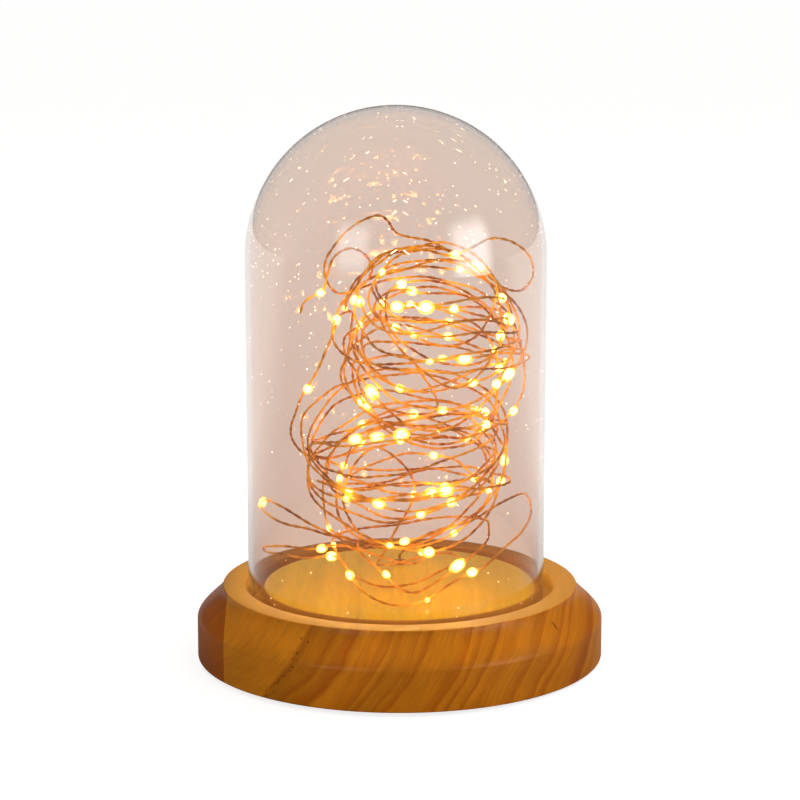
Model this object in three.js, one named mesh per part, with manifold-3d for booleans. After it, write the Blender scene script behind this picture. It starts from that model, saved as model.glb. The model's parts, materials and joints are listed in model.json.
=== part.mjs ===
// Bedside table lamp: a glass bell over a tangle of copper-wire fairy lights, on a turned wooden base.
// The lights run on three cells in a box under the base. Millimetres, +Z up, front towards -Y.
// The origin is the middle of the surface that the lamp stands on.
import * as THREE from "three";
import { mergeVertices } from "three/addons/utils/BufferGeometryUtils.js";
import Module from "manifold-3d";

const wasm = await Module();
wasm.setup();

// Fits and facets
const seatGap = 0.3; // between pieces that rest on or in each other
const roundFacets = 48; // facets of the base and the bell
const smallFacets = 16; // facets of small turned pieces
const wireFacets = 4; // facets of the light wire

// Glass bell
const domeDiameter = 120;
const domeHeight = 200;
const glassWall = 2;
const groovePlay = 2.8; // free room on each side of the glass in its groove
const domeShift = -1.5; // the bell stands a little to the left in its groove
const domeArcSteps = 8;
const rimArcSteps = 3;

// Wooden base
const baseDiameter = 164.6;
const baseHeight = 29.4;
const sideHeight = 16; // upright part of the side
const footBevel = 0.8;
const ringDiameter = 143.8; // outer edge of the flat ring round the groove
const ogeePull = 3.4; // how upright the ogee starts and ends
const ogeeSteps = 8;
const grooveDepth = 7;
const plateDrop = 0.3; // the middle plate lies this far under the ring
const woodEdge = 0.6; // break on the turned edges

// Felt pads
const padCount = 4;
const padDiameter = 14;
const padThickness = 1.5;
const padInset = 5; // from the base's edge to the pad's edge

// Cells, side by side along X, with their axes along Y
const cellCount = 3;
const cellDiameter = 14.5;
const cellLength = 50.5; // with its nub
const nubDiameter = 5.5;
const nubHeight = 1.2;
const cellGap = 0.6;
const cellEdge = 0.8;

// Contacts and springs
const contactThickness = 0.5;
const contactSize = 9;
const springLength = 5.2; // as pressed by the cell
const springWire = 0.7;
const springWide = 8.6; // outer diameter at the contact
const springNarrow = 5.6; // outer diameter at the cell
const springTurns = 3;
const springSteps = 8; // steps of one turn
const springFacets = 4;

// Battery box, its cover and its screws
const boxWall = 1.6;
const boxRecess = 1.5; // the box lies this far inside the base's underside
const roomLength = 16; // room behind the cells, for the board and the switch
const pocketPlay = 0.4;
const coverThickness = 1.6;
const pullLength = 14; // finger groove in the cover
const pullWidth = 4;
const pullDepth = 0.8;
const screwShare = 0.6; // from one box screw to the next, as a share of a cell's length
const screwShank = 2.6;
const screwHead = 4.6;
const screwHeadHeight = 1.6;
const screwBite = 6; // length in the wood
const screwTip = 2;

// Circuit board, chip and slide switch
const boardThickness = 1;
const boardWidth = 38;
const chipLength = 6;
const chipWidth = 4.4;
const chipHeight = 1.5;
const chipPlace = -8; // from the middle of the box
const switchLength = 9;
const switchWidth = 5;
const switchHeight = 3.6;
const switchPlace = 11; // from the middle of the box
const switchSocket = 2; // depth of the slot in the switch's body
const switchTravel = 2;
const knobLength = 3;
const knobWidth = 2.4;
const knobProud = 1; // the knob stands this far out of the box

// Battery leads
const leadDiameter = 1.2;
const leadFacets = 8;
const leadRise = 2; // from a contact up to the lead's run
const leadReach = 5; // from the bay's wall to the lead's solder joint

// Grommet in the middle plate, where the light wire comes up
const grommetFlange = 6.4;
const grommetFlangeHeight = 0.8;
const grommetSleeve = 3.6;
const grommetLength = 5;
const riserStand = 1; // the wire stands this far out of the grommet before its first loop

// Light wire: a twisted pair, drawn as one round wire of the pair's width
const wireDiameter = 0.7;
const coilSteps = 24; // steps of one loop
const routeSteps = 2; // steps between two points of a hand-laid stretch
const gapSample = 0.5; // spacing of the points on which a wire's gap to itself is measured
const gapSkip = 4.2; // what follows within this length along the wire is no neighbour

// Light drops threaded on the wire. These are every fourth drop of the string.
const dropCount = 24;
const dropDiameter = 3;
const dropLength = 4.4;
const dropFacets = 6;
const dropArcSteps = 3;
const dropArc = 75; // degrees of the drop's curve on each side of its middle

// A coil's loops lie on one another like the windings of a barrel, and each loop's plane rocks a little.
// The loops' middles go from one place to the other. Side and depth are the widest loop's reaches, at the
// stated share of the turns. Stack is how much narrower each loop is before and after it. Tilt and lean
// rock the loops' planes to the back and to the side, in degrees. Pitch tips the whole coil to the front.
const lowerCoil = {
  from: [4, 2, 66],
  to: [1.17, 2, 94.25],
  sideReach: 43.01,
  depthReach: 41.16,
  turns: 15,
  begin: 0.313,
  stack: 1.6,
  widest: 0.647,
  tilt: { middle: -1.49, swing: 35.29, perTurn: 0.313, phase: 0.214 },
  lean: { middle: 5.42, swing: 14.76, perTurn: 0.329, phase: 0.319 },
  pitch: 20.12,
};
const upperCoil = {
  from: [11.86, -1.9, 112.3],
  to: [16.68, -1.9, 154.19],
  sideReach: 37.33,
  depthReach: 36.75,
  turns: 17,
  begin: 0.29,
  stack: 1.4,
  widest: 0.338,
  tilt: { middle: 3.47, swing: 40.03, perTurn: 0.5, phase: 0.91 },
  lean: { middle: -7.78, swing: 13.57, perTurn: 0.493, phase: 0.259 },
  pitch: 25.65,
};

// Hand-laid stretches of the light wire
const baseLoopRoute = [
  // round the back to the loop on the right, and along the front of the plate
  [10.5, 36, 41], [29.5, 34, 48], [43.5, 22, 59.5], [52, 6, 66.5], [52.5, -8, 62], [46.5, -20, 55],
  [36.5, -30, 49], [22, -36, 40.5], [7, -38, 32.5], [-4, -38.5, 32], [-13, -36, 35.5], [-19.5, -32, 42.5],
  // out to the glass on the left, and back under the tangle
  [-25, -27, 47.5], [-36, -22, 46], [-46.5, -15, 46.5], [-54, -9, 46], [-55, -6.5, 47], [-46.5, -6, 47],
  [-35.5, -8, 47.5], [-26.5, -11, 49.5], [-17, -9, 47], [-6, -5, 42.5], [5, 2, 38], [10.5, 14, 37.5],
  // a turn at the back, and out to the glass once more, higher up
  [3.5, 24, 40], [-8, 18, 43.5], [-15.7, 3.9, 43.6], [-18.5, -16, 52], [-25.8, -21.4, 55.4],
  [-29.5, -20, 56], [-36, -18, 57.5], [-44.5, -14, 58.5], [-51, -10.5, 60.5], [-55.5, -6, 63.5],
  [-54.5, -5, 66], [-48.5, -6, 64], [-41, -8, 60.5], [-34, -11, 57], [-28, -12, 54], [-20.5, -16, 50],
  // a low loop across the front, the right and the back
  [-8, -22, 41.5], [0, -24, 34.5], [6, -25, 33], [13, -24, 36], [22, -21, 43], [32, -14, 49.5],
  [37.5, 4, 52], [33.5, 22, 53], [19, 32, 50], [0, 33, 47], [-17.5, 24, 46], [-27.5, 8, 46],
  // a smaller loop on the plate
  [-25, -6, 43], [-19, -11, 37], [-8, -13, 32.5], [5, -12, 33.5], [17, -5, 37], [24.5, 6, 38],
  [21.5, 18, 38], [8.5, 26, 34], [-5, 20, 32.5], [-9.5, 8, 36], [-6.5, -2, 43.5],
  // up through the lower coil's open middle
  [2, 4, 56], [6, 12, 67], [2, 20, 75],
];
const climbRoute = [
  // from the lower coil up the left side, round a loop, and into the upper coil from below
  [-19.5, 26, 80.5], [-30.7, 18.8, 77.1], [-40.7, 17.8, 80.8], [-43.8, 4.9, 93.2], [-41, -5, 105],
  [-34, -8, 118], [-27, -4, 131], [-25, 8, 138], [-20, 21, 139], [-21, 28, 125], [-24, 22, 112],
  [-14, 12, 103], [2, 9, 100], [14, 14, 99], [15, 23, 100.5],
];
const tailRoute = [
  // down the left, over the front to the loop at the top right
  [-2, 26, 161.5], [-8, 26, 158], [-16, 19, 153.5], [-21, 12, 146.5], [-22.5, 0, 142.5], [-20, -13, 147.5],
  [-16, -20, 158], [-9.5, -22, 166], [0, -22, 170], [10, -20, 169.5], [19.5, -16, 167], [27.5, -12, 170],
  [36, -8, 173], [45.5, -4, 170], [52, 0, 163.5], [53.5, 4, 156], [49.5, 12, 149], [41, 26, 149],
  // behind the coil to the loops at the top left
  [29, 32, 157.5], [16.5, 33, 164], [5, 30, 167.5], [-1, 22, 171], [-4.5, 14, 176], [-10, 6, 179],
  [-19, 0, 175.5], [-25, -4, 169], [-29, -4, 162], [-29.5, -1, 155], [-26, 1, 150], [-23, 1, 149.5],
  [-13, -1, 154], [-10.5, -2, 159], [-13.5, -6, 165.5], [-19, -10, 168.5], [-24.5, -12, 166],
  // the free end
  [-27.5, -14, 160.5], [-29.5, -14, 155.5], [-31.5, -13, 151.5], [-35, -12, 149.5], [-38, -12, 147],
  [-39.5, -12, 143],
];

// Heights of the base, from the surface that it stands on
const woodBottom = padThickness;
const woodTop = woodBottom + baseHeight;
const plateTop = woodTop - plateDrop;
const grooveFloor = woodTop - grooveDepth;
const baseRadius = baseDiameter / 2;
const domeRadius = domeDiameter / 2;
const domeFoot = grooveFloor + seatGap;

// The box's walls and rooms
const cellPitch = cellDiameter + cellGap;
const bayWidth = cellCount * cellDiameter + (cellCount - 1) * cellGap + 2 * seatGap;
const bayLength = cellLength + springLength + 2 * contactThickness + 5 * seatGap;
const boxWidth = bayWidth + 2 * boxWall;
const boxLength = bayLength + roomLength + 3 * boxWall;
const boxBottom = woodBottom + boxRecess;
const coverTop = boxBottom + coverThickness;
const cellAxis = coverTop + seatGap + cellDiameter / 2;
const roofUnder = cellAxis + cellDiameter / 2 + seatGap;
const boxTop = roofUnder + boxWall;
const pocketTop = boxTop + seatGap;
const boxFront = -boxLength / 2;
const bayFront = boxFront + boxWall;
const bayBack = bayFront + bayLength;
const bayMiddle = (bayFront + bayBack) / 2;
const roomFront = bayBack + boxWall;
const roomBack = roomFront + roomLength;
const roomMiddle = (roomFront + roomBack) / 2;
const roomFloor = boxBottom + boxWall;
const switchBottom = roomFloor + seatGap;
const boardBottom = switchBottom + switchHeight + seatGap;
const boardTop = boardBottom + boardThickness;

// Places that several pieces share
const lastCell = cellCount - 1;
const wireX = 0;
const wireY = roomMiddle;
const wireHole = wireDiameter / 2 + seatGap;
const sleeveHole = grommetSleeve / 2 + seatGap;
const riserTop = plateTop + seatGap + grommetFlangeHeight + riserStand;
const cellXs = Array.from({ length: cellCount }, (_, i) => (i - lastCell / 2) * cellPitch);
const screwXs = cellXs.slice(1).map((x) => x - cellPitch / 2);
const screwYs = [-1, 1].map((end) => bayMiddle + (end * screwShare * cellLength) / 2);
const shankHole = screwShank / 2 + seatGap;
const knobSlot = { length: knobLength + switchTravel + 2 * seatGap, width: knobWidth + 2 * seatGap };
const knobRest = switchPlace - switchTravel / 2;
const leadHole = leadDiameter / 2 + seatGap;
const contactTop = cellAxis + contactSize / 2;
const leadRun = contactTop + leadRise;

// Materials
function finish(color, roughness, metalness = 0) {
  return new THREE.MeshStandardMaterial({ color, roughness, metalness });
}
const wood = finish("#b8742c", 0.42);
const glass = new THREE.MeshStandardMaterial({
  color: "#f1e4dc", roughness: 0.05, metalness: 0, transparent: true, opacity: 0.3,
});
const felt = finish("#3a2a20", 0.95);
const blackPlastic = finish("#1d1d1f", 0.5);
const whitePlastic = finish("#e9e6df", 0.45);
const boardGreen = finish("#1f6b3a", 0.5);
const steel = finish("#b9bbbf", 0.35, 1);
const brass = finish("#c39a4e", 0.3, 1);
const copper = finish("#b5682f", 0.35, 1);
const cellJacket = finish("#4c5359", 0.4, 0.4);
const redLead = finish("#b3261e", 0.5);
const blackLead = finish("#232323", 0.5);
const resin = new THREE.MeshStandardMaterial({
  color: "#ffd58a", roughness: 0.25, metalness: 0, emissive: "#ffb040",
});

// Solids from geometries, for cuts and joins
function solidFrom(geometry) {
  const bare = geometry.clone();
  bare.deleteAttribute("normal");
  bare.deleteAttribute("uv");
  const merged = mergeVertices(bare);
  const vertProperties = merged.getAttribute("position").array;
  const triVerts = new Uint32Array(merged.index.array);
  return new wasm.Manifold(new wasm.Mesh({ numProp: 3, vertProperties, triVerts }));
}

function geometryFrom(solid) {
  const mesh = solid.getMesh();
  return new THREE.BufferGeometry()
    .setAttribute("position", new THREE.BufferAttribute(mesh.vertProperties, mesh.numProp))
    .setIndex(new THREE.BufferAttribute(mesh.triVerts, 1));
}

function cut(body, tools) {
  return geometryFrom(tools.reduce((solid, tool) => solid.subtract(solidFrom(tool)), solidFrom(body)));
}

function join(pieces) {
  return geometryFrom(pieces.map(solidFrom).reduce((solid, piece) => solid.add(piece)));
}

// Simple shapes, placed
function block(low, high) {
  const size = high.map((value, i) => value - low[i]);
  const middle = high.map((value, i) => (value + low[i]) / 2);
  return new THREE.BoxGeometry(...size).translate(...middle);
}

function post(radius, bottom, top, x, y) {
  return new THREE.CylinderGeometry(radius, radius, top - bottom, smallFacets)
    .rotateX(Math.PI / 2)
    .translate(x, y, (top + bottom) / 2);
}

function turned(profile, facets) {
  const points = profile.map(([radius, height]) => new THREE.Vector2(radius, height));
  return new THREE.LatheGeometry(points, facets).rotateX(Math.PI / 2);
}

function arc(centreRadius, centreHeight, radius, fromDegrees, toDegrees, steps) {
  return Array.from({ length: steps + 1 }, (_, i) => {
    const angle = THREE.MathUtils.degToRad(fromDegrees + ((toDegrees - fromDegrees) * i) / steps);
    return [centreRadius + radius * Math.cos(angle), centreHeight + radius * Math.sin(angle)];
  });
}

// A closed round tube along a line of points, with flat ends
function tube(points, diameter, facets) {
  const positions = [];
  const faces = [];
  const last = points.length - 1;
  const side = new THREE.Vector3(1, 0, 0);
  const direction = new THREE.Vector3();
  const up = new THREE.Vector3();
  points.forEach((point, i) => {
    direction.subVectors(points[Math.min(i + 1, last)], points[Math.max(i - 1, 0)]).normalize();
    if (i === 0 && Math.abs(direction.dot(side)) > Math.SQRT1_2) {
      side.set(0, 1, 0);
    }
    side.addScaledVector(direction, -side.dot(direction)).normalize();
    up.crossVectors(direction, side);
    for (let k = 0; k < facets; k += 1) {
      const angle = (2 * Math.PI * k) / facets;
      const corner = point.clone();
      corner.addScaledVector(side, (diameter / 2) * Math.cos(angle));
      corner.addScaledVector(up, (diameter / 2) * Math.sin(angle));
      positions.push(...corner.toArray());
    }
  });
  for (let i = 0; i < last; i += 1) {
    for (let k = 0; k < facets; k += 1) {
      const here = i * facets + k;
      const beside = i * facets + ((k + 1) % facets);
      faces.push(here, beside, beside + facets, here, beside + facets, here + facets);
    }
  }
  for (let k = 1; k + 1 < facets; k += 1) {
    faces.push(0, k + 1, k);
    faces.push(last * facets, last * facets + k, last * facets + k + 1);
  }
  return new THREE.BufferGeometry()
    .setAttribute("position", new THREE.Float32BufferAttribute(positions, 3))
    .setIndex(faces);
}

// Points along a smooth line through places laid by hand
function smoothLine(places, stepsEach) {
  const curve = new THREE.CatmullRomCurve3(places, false, "centripetal");
  return curve.getPoints((places.length - 1) * stepsEach);
}

// Wooden base: a turned disc with an ogee edge, a groove for the bell, and a pocket for the battery box
function baseBody() {
  const ringRadius = ringDiameter / 2;
  const grooveOuter = domeRadius + groovePlay;
  const plateRadius = domeRadius - glassWall - groovePlay;
  const ogeeTop = woodTop - woodEdge;
  const sideTop = woodBottom + sideHeight;
  const ogee = new THREE.CubicBezierCurve(
    new THREE.Vector2(baseRadius, sideTop),
    new THREE.Vector2(baseRadius, sideTop + ogeePull),
    new THREE.Vector2(ringRadius, ogeeTop - ogeePull),
    new THREE.Vector2(ringRadius, ogeeTop),
  );
  const disc = turned(
    [
      [0, woodBottom],
      [baseRadius - footBevel, woodBottom],
      [baseRadius, woodBottom + footBevel],
      ...ogee.getPoints(ogeeSteps).map((point) => point.toArray()),
      [ringRadius - woodEdge, woodTop],
      [grooveOuter + woodEdge, woodTop],
      [grooveOuter, woodTop - woodEdge],
      [grooveOuter, grooveFloor],
      [plateRadius, grooveFloor],
      [plateRadius, plateTop - woodEdge],
      [plateRadius - woodEdge, plateTop],
      [0, plateTop],
    ],
    roundFacets,
  );
  const pocket = block(
    [-boxWidth / 2 - pocketPlay, boxFront - pocketPlay, 0],
    [boxWidth / 2 + pocketPlay, boxFront + boxLength + pocketPlay, pocketTop],
  );
  const wireBore = post(sleeveHole, boxTop, woodTop, wireX, wireY);
  const pilots = screwXs.flatMap((x) =>
    screwYs.map((y) => post(shankHole, boxTop, pocketTop + screwBite + seatGap, x, y)),
  );
  return cut(disc, [pocket, wireBore, ...pilots]);
}

// Glass bell: half a ball on a cylinder, open below, with a rounded rim
function glassDome() {
  const innerRadius = domeRadius - glassWall;
  const ballHeight = domeFoot + domeHeight - domeRadius;
  const rimRadius = glassWall / 2;
  return turned(
    [
      ...arc(0, ballHeight, innerRadius, 90, 0, domeArcSteps),
      ...arc(innerRadius + rimRadius, domeFoot + rimRadius, rimRadius, 180, 360, rimArcSteps),
      ...arc(0, ballHeight, domeRadius, 0, 90, domeArcSteps),
    ].map(([radius, height]) => [Math.max(radius, 0), height]),
    roundFacets,
  );
}

function feltPad(turn) {
  const reach = baseRadius - padInset - padDiameter / 2;
  return post(padDiameter / 2, 0, padThickness, reach * Math.cos(turn), reach * Math.sin(turn));
}

// Grommet: a flanged sleeve round the light wire, in the middle plate
function wireGrommet() {
  const flangeFoot = plateTop + seatGap;
  const flange = post(grommetFlange / 2, flangeFoot, flangeFoot + grommetFlangeHeight, wireX, wireY);
  const sleeve = post(grommetSleeve / 2, flangeFoot - grommetLength, flangeFoot + seatGap, wireX, wireY);
  return cut(join([flange, sleeve]), [post(wireHole, boxTop, riserTop, wireX, wireY)]);
}

// Battery box: a bay for the cells, open below, and a closed room behind it
function batteryBox() {
  const halfBay = bayWidth / 2;
  const body = block([-boxWidth / 2, boxFront, boxBottom], [boxWidth / 2, boxFront + boxLength, boxTop]);
  const bay = block([-halfBay, bayFront, 0], [halfBay, bayBack, roofUnder]);
  const room = block([-halfBay, roomFront, roomFloor], [halfBay, roomBack, roofUnder]);
  const slot = block(
    [switchPlace - knobSlot.length / 2, roomMiddle - knobSlot.width / 2, 0],
    [switchPlace + knobSlot.length / 2, roomMiddle + knobSlot.width / 2, switchBottom],
  );
  const wireExit = post(wireHole, boardTop, pocketTop, wireX, wireY);
  const screwHoles = screwXs.flatMap((x) =>
    screwYs.map((y) => post(shankHole, cellAxis, pocketTop, x, y)),
  );
  const leadHoles = [leadPlaces("positive"), leadPlaces("negative")].map(({ runX }) =>
    new THREE.CylinderGeometry(leadHole, leadHole, 2 * boxWall + roomLength, leadFacets)
      .translate(runX, bayBack, leadRun),
  );
  return cut(body, [bay, room, slot, wireExit, ...screwHoles, ...leadHoles]);
}

function batteryCover() {
  const half = bayWidth / 2 - seatGap;
  const plate = block([-half, bayFront + seatGap, boxBottom], [half, bayBack - seatGap, coverTop]);
  const pull = block(
    [-pullLength / 2, bayBack - seatGap - 2 * pullWidth, 0],
    [pullLength / 2, bayBack - seatGap - pullWidth, boxBottom + pullDepth],
  );
  return cut(plate, [pull]);
}

// A screw, head down, from the box's roof up into the wood
function boxScrew(x, y) {
  const headTop = roofUnder - seatGap;
  const headBottom = headTop - screwHeadHeight;
  const tip = pocketTop + screwBite;
  return turned(
    [
      [0, headBottom],
      [screwHead / 2 - seatGap, headBottom],
      [screwHead / 2, headBottom + seatGap],
      [screwHead / 2, headTop],
      [screwShank / 2, headTop],
      [screwShank / 2, tip - screwTip],
      [0, tip],
    ],
    smallFacets,
  ).translate(x, y, 0);
}

// Cells lie head to tail: the first one's nub is at the front
const nubAtFront = (index) => index % 2 === 0;
const contactDepth = seatGap + contactThickness + seatGap; // from a bay wall to what meets the contact

function cell(index) {
  const radius = cellDiameter / 2;
  const upright = turned(
    [
      [0, 0],
      [radius - cellEdge, 0],
      [radius, cellEdge],
      [radius, cellLength - nubHeight - cellEdge],
      [radius - cellEdge, cellLength - nubHeight],
      [nubDiameter / 2, cellLength - nubHeight],
      [nubDiameter / 2, cellLength],
      [0, cellLength],
    ],
    smallFacets,
  );
  const nubForward = upright.rotateX(nubAtFront(index) ? Math.PI / 2 : -Math.PI / 2);
  const foot = nubAtFront(index) ? bayFront + contactDepth + cellLength : bayBack - contactDepth - cellLength;
  return nubForward.translate(cellXs[index], foot, cellAxis);
}

// A contact plate at a bay wall, from one cell to the same or the next
function contactPlate(first, next, atFront) {
  const face = atFront ? bayFront + seatGap : bayBack - seatGap - contactThickness;
  return block(
    [cellXs[first] - contactSize / 2, face, cellAxis - contactSize / 2],
    [cellXs[next] + contactSize / 2, face + contactThickness, contactTop],
  );
}

// A conical spring between a contact plate and a cell's flat end
function cellSpring(index) {
  const inward = nubAtFront(index) ? -1 : 1;
  const wall = nubAtFront(index) ? bayBack : bayFront;
  const start = wall + inward * (contactDepth + springWire / 2);
  const run = springLength - springWire;
  const count = springTurns * springSteps;
  const points = Array.from({ length: count + 1 }, (_, i) => {
    const share = i / count;
    const radius = (THREE.MathUtils.lerp(springWide, springNarrow, share) - springWire) / 2;
    const angle = 2 * Math.PI * springTurns * share;
    return new THREE.Vector3(
      cellXs[index] + radius * Math.cos(angle),
      start + inward * run * share,
      cellAxis + radius * Math.sin(angle),
    );
  });
  return tube(points, springWire, springFacets);
}

// The two battery leads: the first cell's plus runs back along the box's corner, the last cell's minus
// goes straight through the wall between the bay and the room.
function leadPlaces(pole) {
  const cornerX = -bayWidth / 2 + leadHole;
  const plus = { fromX: cellXs[0], fromFront: true, runX: cornerX };
  const minus = { fromX: cellXs[lastCell], fromFront: !nubAtFront(lastCell), runX: cellXs[lastCell] };
  return pole === "positive" ? plus : minus;
}

// Cuts each corner of a bent wire back by the bend
function bentLine(corners, bend) {
  const places = corners.map((corner) => new THREE.Vector3(...corner));
  const towards = (place, other) => place.clone().addScaledVector(other.clone().sub(place).normalize(), bend);
  const bends = places.slice(1, -1).flatMap((place, i) => [
    towards(place, places[i]),
    towards(place, places[i + 2]),
  ]);
  return [places[0], ...bends, places.at(-1)];
}

function batteryLead(pole) {
  const { fromX, fromFront, runX } = leadPlaces(pole);
  const offWall = leadDiameter / 2 + seatGap;
  const fromY = fromFront ? bayFront + offWall : bayBack - offWall;
  const endY = roomFront + leadReach;
  const endX = Math.sign(runX) * (boardWidth / 2 - leadDiameter);
  const aside = runX === fromX ? [] : [[runX, fromY, leadRun]];
  const corners = [
    [fromX, fromY, contactTop + seatGap],
    [fromX, fromY, leadRun],
    ...aside,
    [runX, endY, leadRun],
    [endX, endY, leadRun],
    [endX, endY, boardTop + seatGap],
  ];
  return tube(bentLine(corners, leadDiameter / 2), leadDiameter, leadFacets);
}

function circuitBoard() {
  return block(
    [-boardWidth / 2, roomFront + seatGap, boardBottom],
    [boardWidth / 2, roomBack - seatGap, boardTop],
  );
}

function driverChip() {
  const foot = boardTop + seatGap;
  return block(
    [chipPlace - chipLength / 2, roomMiddle - chipWidth / 2, foot],
    [chipPlace + chipLength / 2, roomMiddle + chipWidth / 2, foot + chipHeight],
  );
}

function switchBody() {
  const body = block(
    [switchPlace - switchLength / 2, roomMiddle - switchWidth / 2, switchBottom],
    [switchPlace + switchLength / 2, roomMiddle + switchWidth / 2, switchBottom + switchHeight],
  );
  const socket = block(
    [switchPlace - knobSlot.length / 2, roomMiddle - knobSlot.width / 2, boxBottom],
    [switchPlace + knobSlot.length / 2, roomMiddle + knobSlot.width / 2, switchBottom + switchSocket],
  );
  return cut(body, [socket]);
}

function switchSlider() {
  return block(
    [knobRest - knobLength / 2, roomMiddle - knobWidth / 2, boxBottom - knobProud],
    [knobRest + knobLength / 2, roomMiddle + knobWidth / 2, switchBottom + switchSocket - seatGap],
  );
}

// One place on a coil, after so many turns
function coilPlace(coil, turn) {
  const rock = ({ middle, swing, perTurn, phase }) =>
    THREE.MathUtils.degToRad(middle + swing * Math.sin(2 * Math.PI * (perTurn * turn + phase)));
  const angle = 2 * Math.PI * (turn + coil.begin);
  const inset = coil.stack * Math.abs(turn - coil.widest * coil.turns);
  const first = new THREE.Vector3(...coil.from);
  const last = new THREE.Vector3(...coil.to);
  const heart = first.clone().lerp(last, 1 / 2);
  const alongX = new THREE.Vector3(1, 0, 0);
  const alongY = new THREE.Vector3(0, 1, 0);
  const side = (coil.sideReach - inset) * Math.cos(angle);
  const depth = (coil.depthReach - inset) * Math.sin(angle);
  return new THREE.Vector3(side, depth, 0)
    .applyAxisAngle(alongX, rock(coil.tilt))
    .applyAxisAngle(alongY, -rock(coil.lean))
    .add(first.lerp(last, turn / coil.turns))
    .sub(heart)
    .applyAxisAngle(alongX, THREE.MathUtils.degToRad(coil.pitch))
    .add(heart);
}

function coilLine(coil) {
  const count = coil.turns * coilSteps;
  return Array.from({ length: count + 1 }, (_, i) => coilPlace(coil, i / coilSteps));
}

// The light wire's stretches, in order from the grommet. Each begins where the last one ends.
function stringStretches() {
  const places = (route) => route.map((place) => new THREE.Vector3(...place));
  const lower = coilLine(lowerCoil);
  const upper = coilLine(upperCoil);
  const start = new THREE.Vector3(wireX, wireY, riserTop + seatGap / 2);
  const above = start.clone().setZ(start.z + 2 * wireDiameter);
  const loops = [start, above, ...places(baseLoopRoute), lower[0], lower[1]];
  const climb = [lower.at(-2), lower.at(-1), ...places(climbRoute), upper[0], upper[1]];
  const tail = [upper.at(-2), upper.at(-1), ...places(tailRoute)];
  const risen = smoothLine(climb, routeSteps).slice(routeSteps, -routeSteps);
  return {
    light_wire_base_loops: smoothLine(loops, routeSteps).slice(0, -routeSteps),
    light_wire_lower_coil: lower,
    light_wire_upper_coil: [...risen, ...upper.slice(1)],
    light_wire_tail: smoothLine(tail, routeSteps).slice(routeSteps),
  };
}

// Draws a stretch back from the next one, and runs its end straight for one diameter
function squareEnd(points, direction) {
  const face = points.at(-1).clone().addScaledVector(direction, -seatGap / 2);
  const straight = face.clone().addScaledVector(direction, -wireDiameter);
  return [...points.slice(0, -1), straight, face];
}

function squareStart(points, direction) {
  return squareEnd(points.toReversed(), direction.clone().negate()).toReversed();
}

function squaredStretches(stretches) {
  const names = Object.keys(stretches);
  const up = new THREE.Vector3(0, 0, 1);
  const meets = names.slice(1).map((name, i) =>
    new THREE.Vector3().subVectors(stretches[name][1], stretches[names[i]].at(-2)).normalize(),
  );
  const directions = [up, ...meets];
  return names.map((name, i) => {
    const started = squareStart(stretches[name], directions[i]);
    const isLast = i === names.length - 1;
    return { name, points: isLast ? started : squareEnd(started, directions[i + 1]) };
  });
}

// Points at even spacing along a line of points
function evenPoints(points, spacing) {
  return points.slice(1).flatMap((point, i) => {
    const count = Math.ceil(point.distanceTo(points[i]) / spacing);
    return Array.from({ length: count }, (_, k) => points[i].clone().lerp(point, k / count));
  });
}

// Least gap of a wire to itself
function leastGap(points) {
  const samples = evenPoints(points, gapSample);
  const skip = Math.ceil(gapSkip / gapSample);
  let least = Infinity;
  samples.forEach((point, i) => {
    for (let k = i + skip; k < samples.length; k += 1) {
      least = Math.min(least, point.distanceToSquared(samples[k]));
    }
  });
  return Math.sqrt(least) - wireDiameter;
}

// Straight pieces of the wire with room for a drop: long enough, and clear of the plate and of other passes
function dropPlaces(stretches) {
  const room = (dropDiameter + wireDiameter) / 2 + seatGap;
  const samples = stretches.flatMap(({ points }) => evenPoints(points, dropLength / 4));
  const pieces = stretches.flatMap(({ points }) =>
    points.slice(1).map((point, i) => ({
      from: points[i],
      to: point,
      length: point.distanceTo(points[i]),
    })),
  );
  const total = pieces.reduce((sum, piece) => sum + piece.length, 0);
  let travelled = 0;
  for (const piece of pieces) {
    piece.middle = piece.from.clone().lerp(piece.to, 1 / 2);
    piece.direction = new THREE.Vector3().subVectors(piece.to, piece.from).normalize();
    piece.along = travelled + piece.length / 2;
    travelled += piece.length;
  }
  const isRoomy = ({ middle, direction, length }) =>
    length > dropLength + wireDiameter &&
    middle.z > plateTop + room &&
    samples.every((sample) => {
      const offset = new THREE.Vector3().subVectors(sample, middle);
      const along = Math.abs(offset.dot(direction));
      const aside = Math.sqrt(Math.max(offset.lengthSq() - along ** 2, 0));
      return along > dropLength / 2 + room || aside > room || aside < seatGap;
    });
  const chosen = new Set();
  return Array.from({ length: dropCount }, (_, i) => {
    const wanted = ((i + 1 / 2) * total) / dropCount;
    const nearest = pieces
      .filter((piece) => !chosen.has(piece))
      .sort((a, b) => Math.abs(a.along - wanted) - Math.abs(b.along - wanted));
    const place = nearest.find(isRoomy);
    chosen.add(place);
    return place;
  });
}

// A drop of clear resin round the wire
function lightDrop({ middle, direction }) {
  const bore = wireDiameter / 2 + seatGap;
  const bulge = dropDiameter / 2 - bore;
  const half = dropLength / 2;
  const edge = Math.sin(THREE.MathUtils.degToRad(dropArc));
  const curve = arc(0, 0, 1, -dropArc, dropArc, dropArcSteps);
  const profile = curve.map(([across, along]) => [bore + bulge * across, (half * along) / edge]);
  const closed = [[bore, -half], ...profile, [bore, half], [bore, -half]];
  const turn = new THREE.Quaternion().setFromUnitVectors(new THREE.Vector3(0, 0, 1), direction);
  return turned(closed, dropFacets).applyQuaternion(turn).translate(...middle.toArray());
}

// The lamp
const lamp = new THREE.Group();
const baseGroup = new THREE.Group();
const domeGroup = new THREE.Group();
const batteryGroup = new THREE.Group();
const stringGroup = new THREE.Group();
domeGroup.position.x = domeShift;
lamp.add(baseGroup, domeGroup, batteryGroup, stringGroup);

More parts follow.
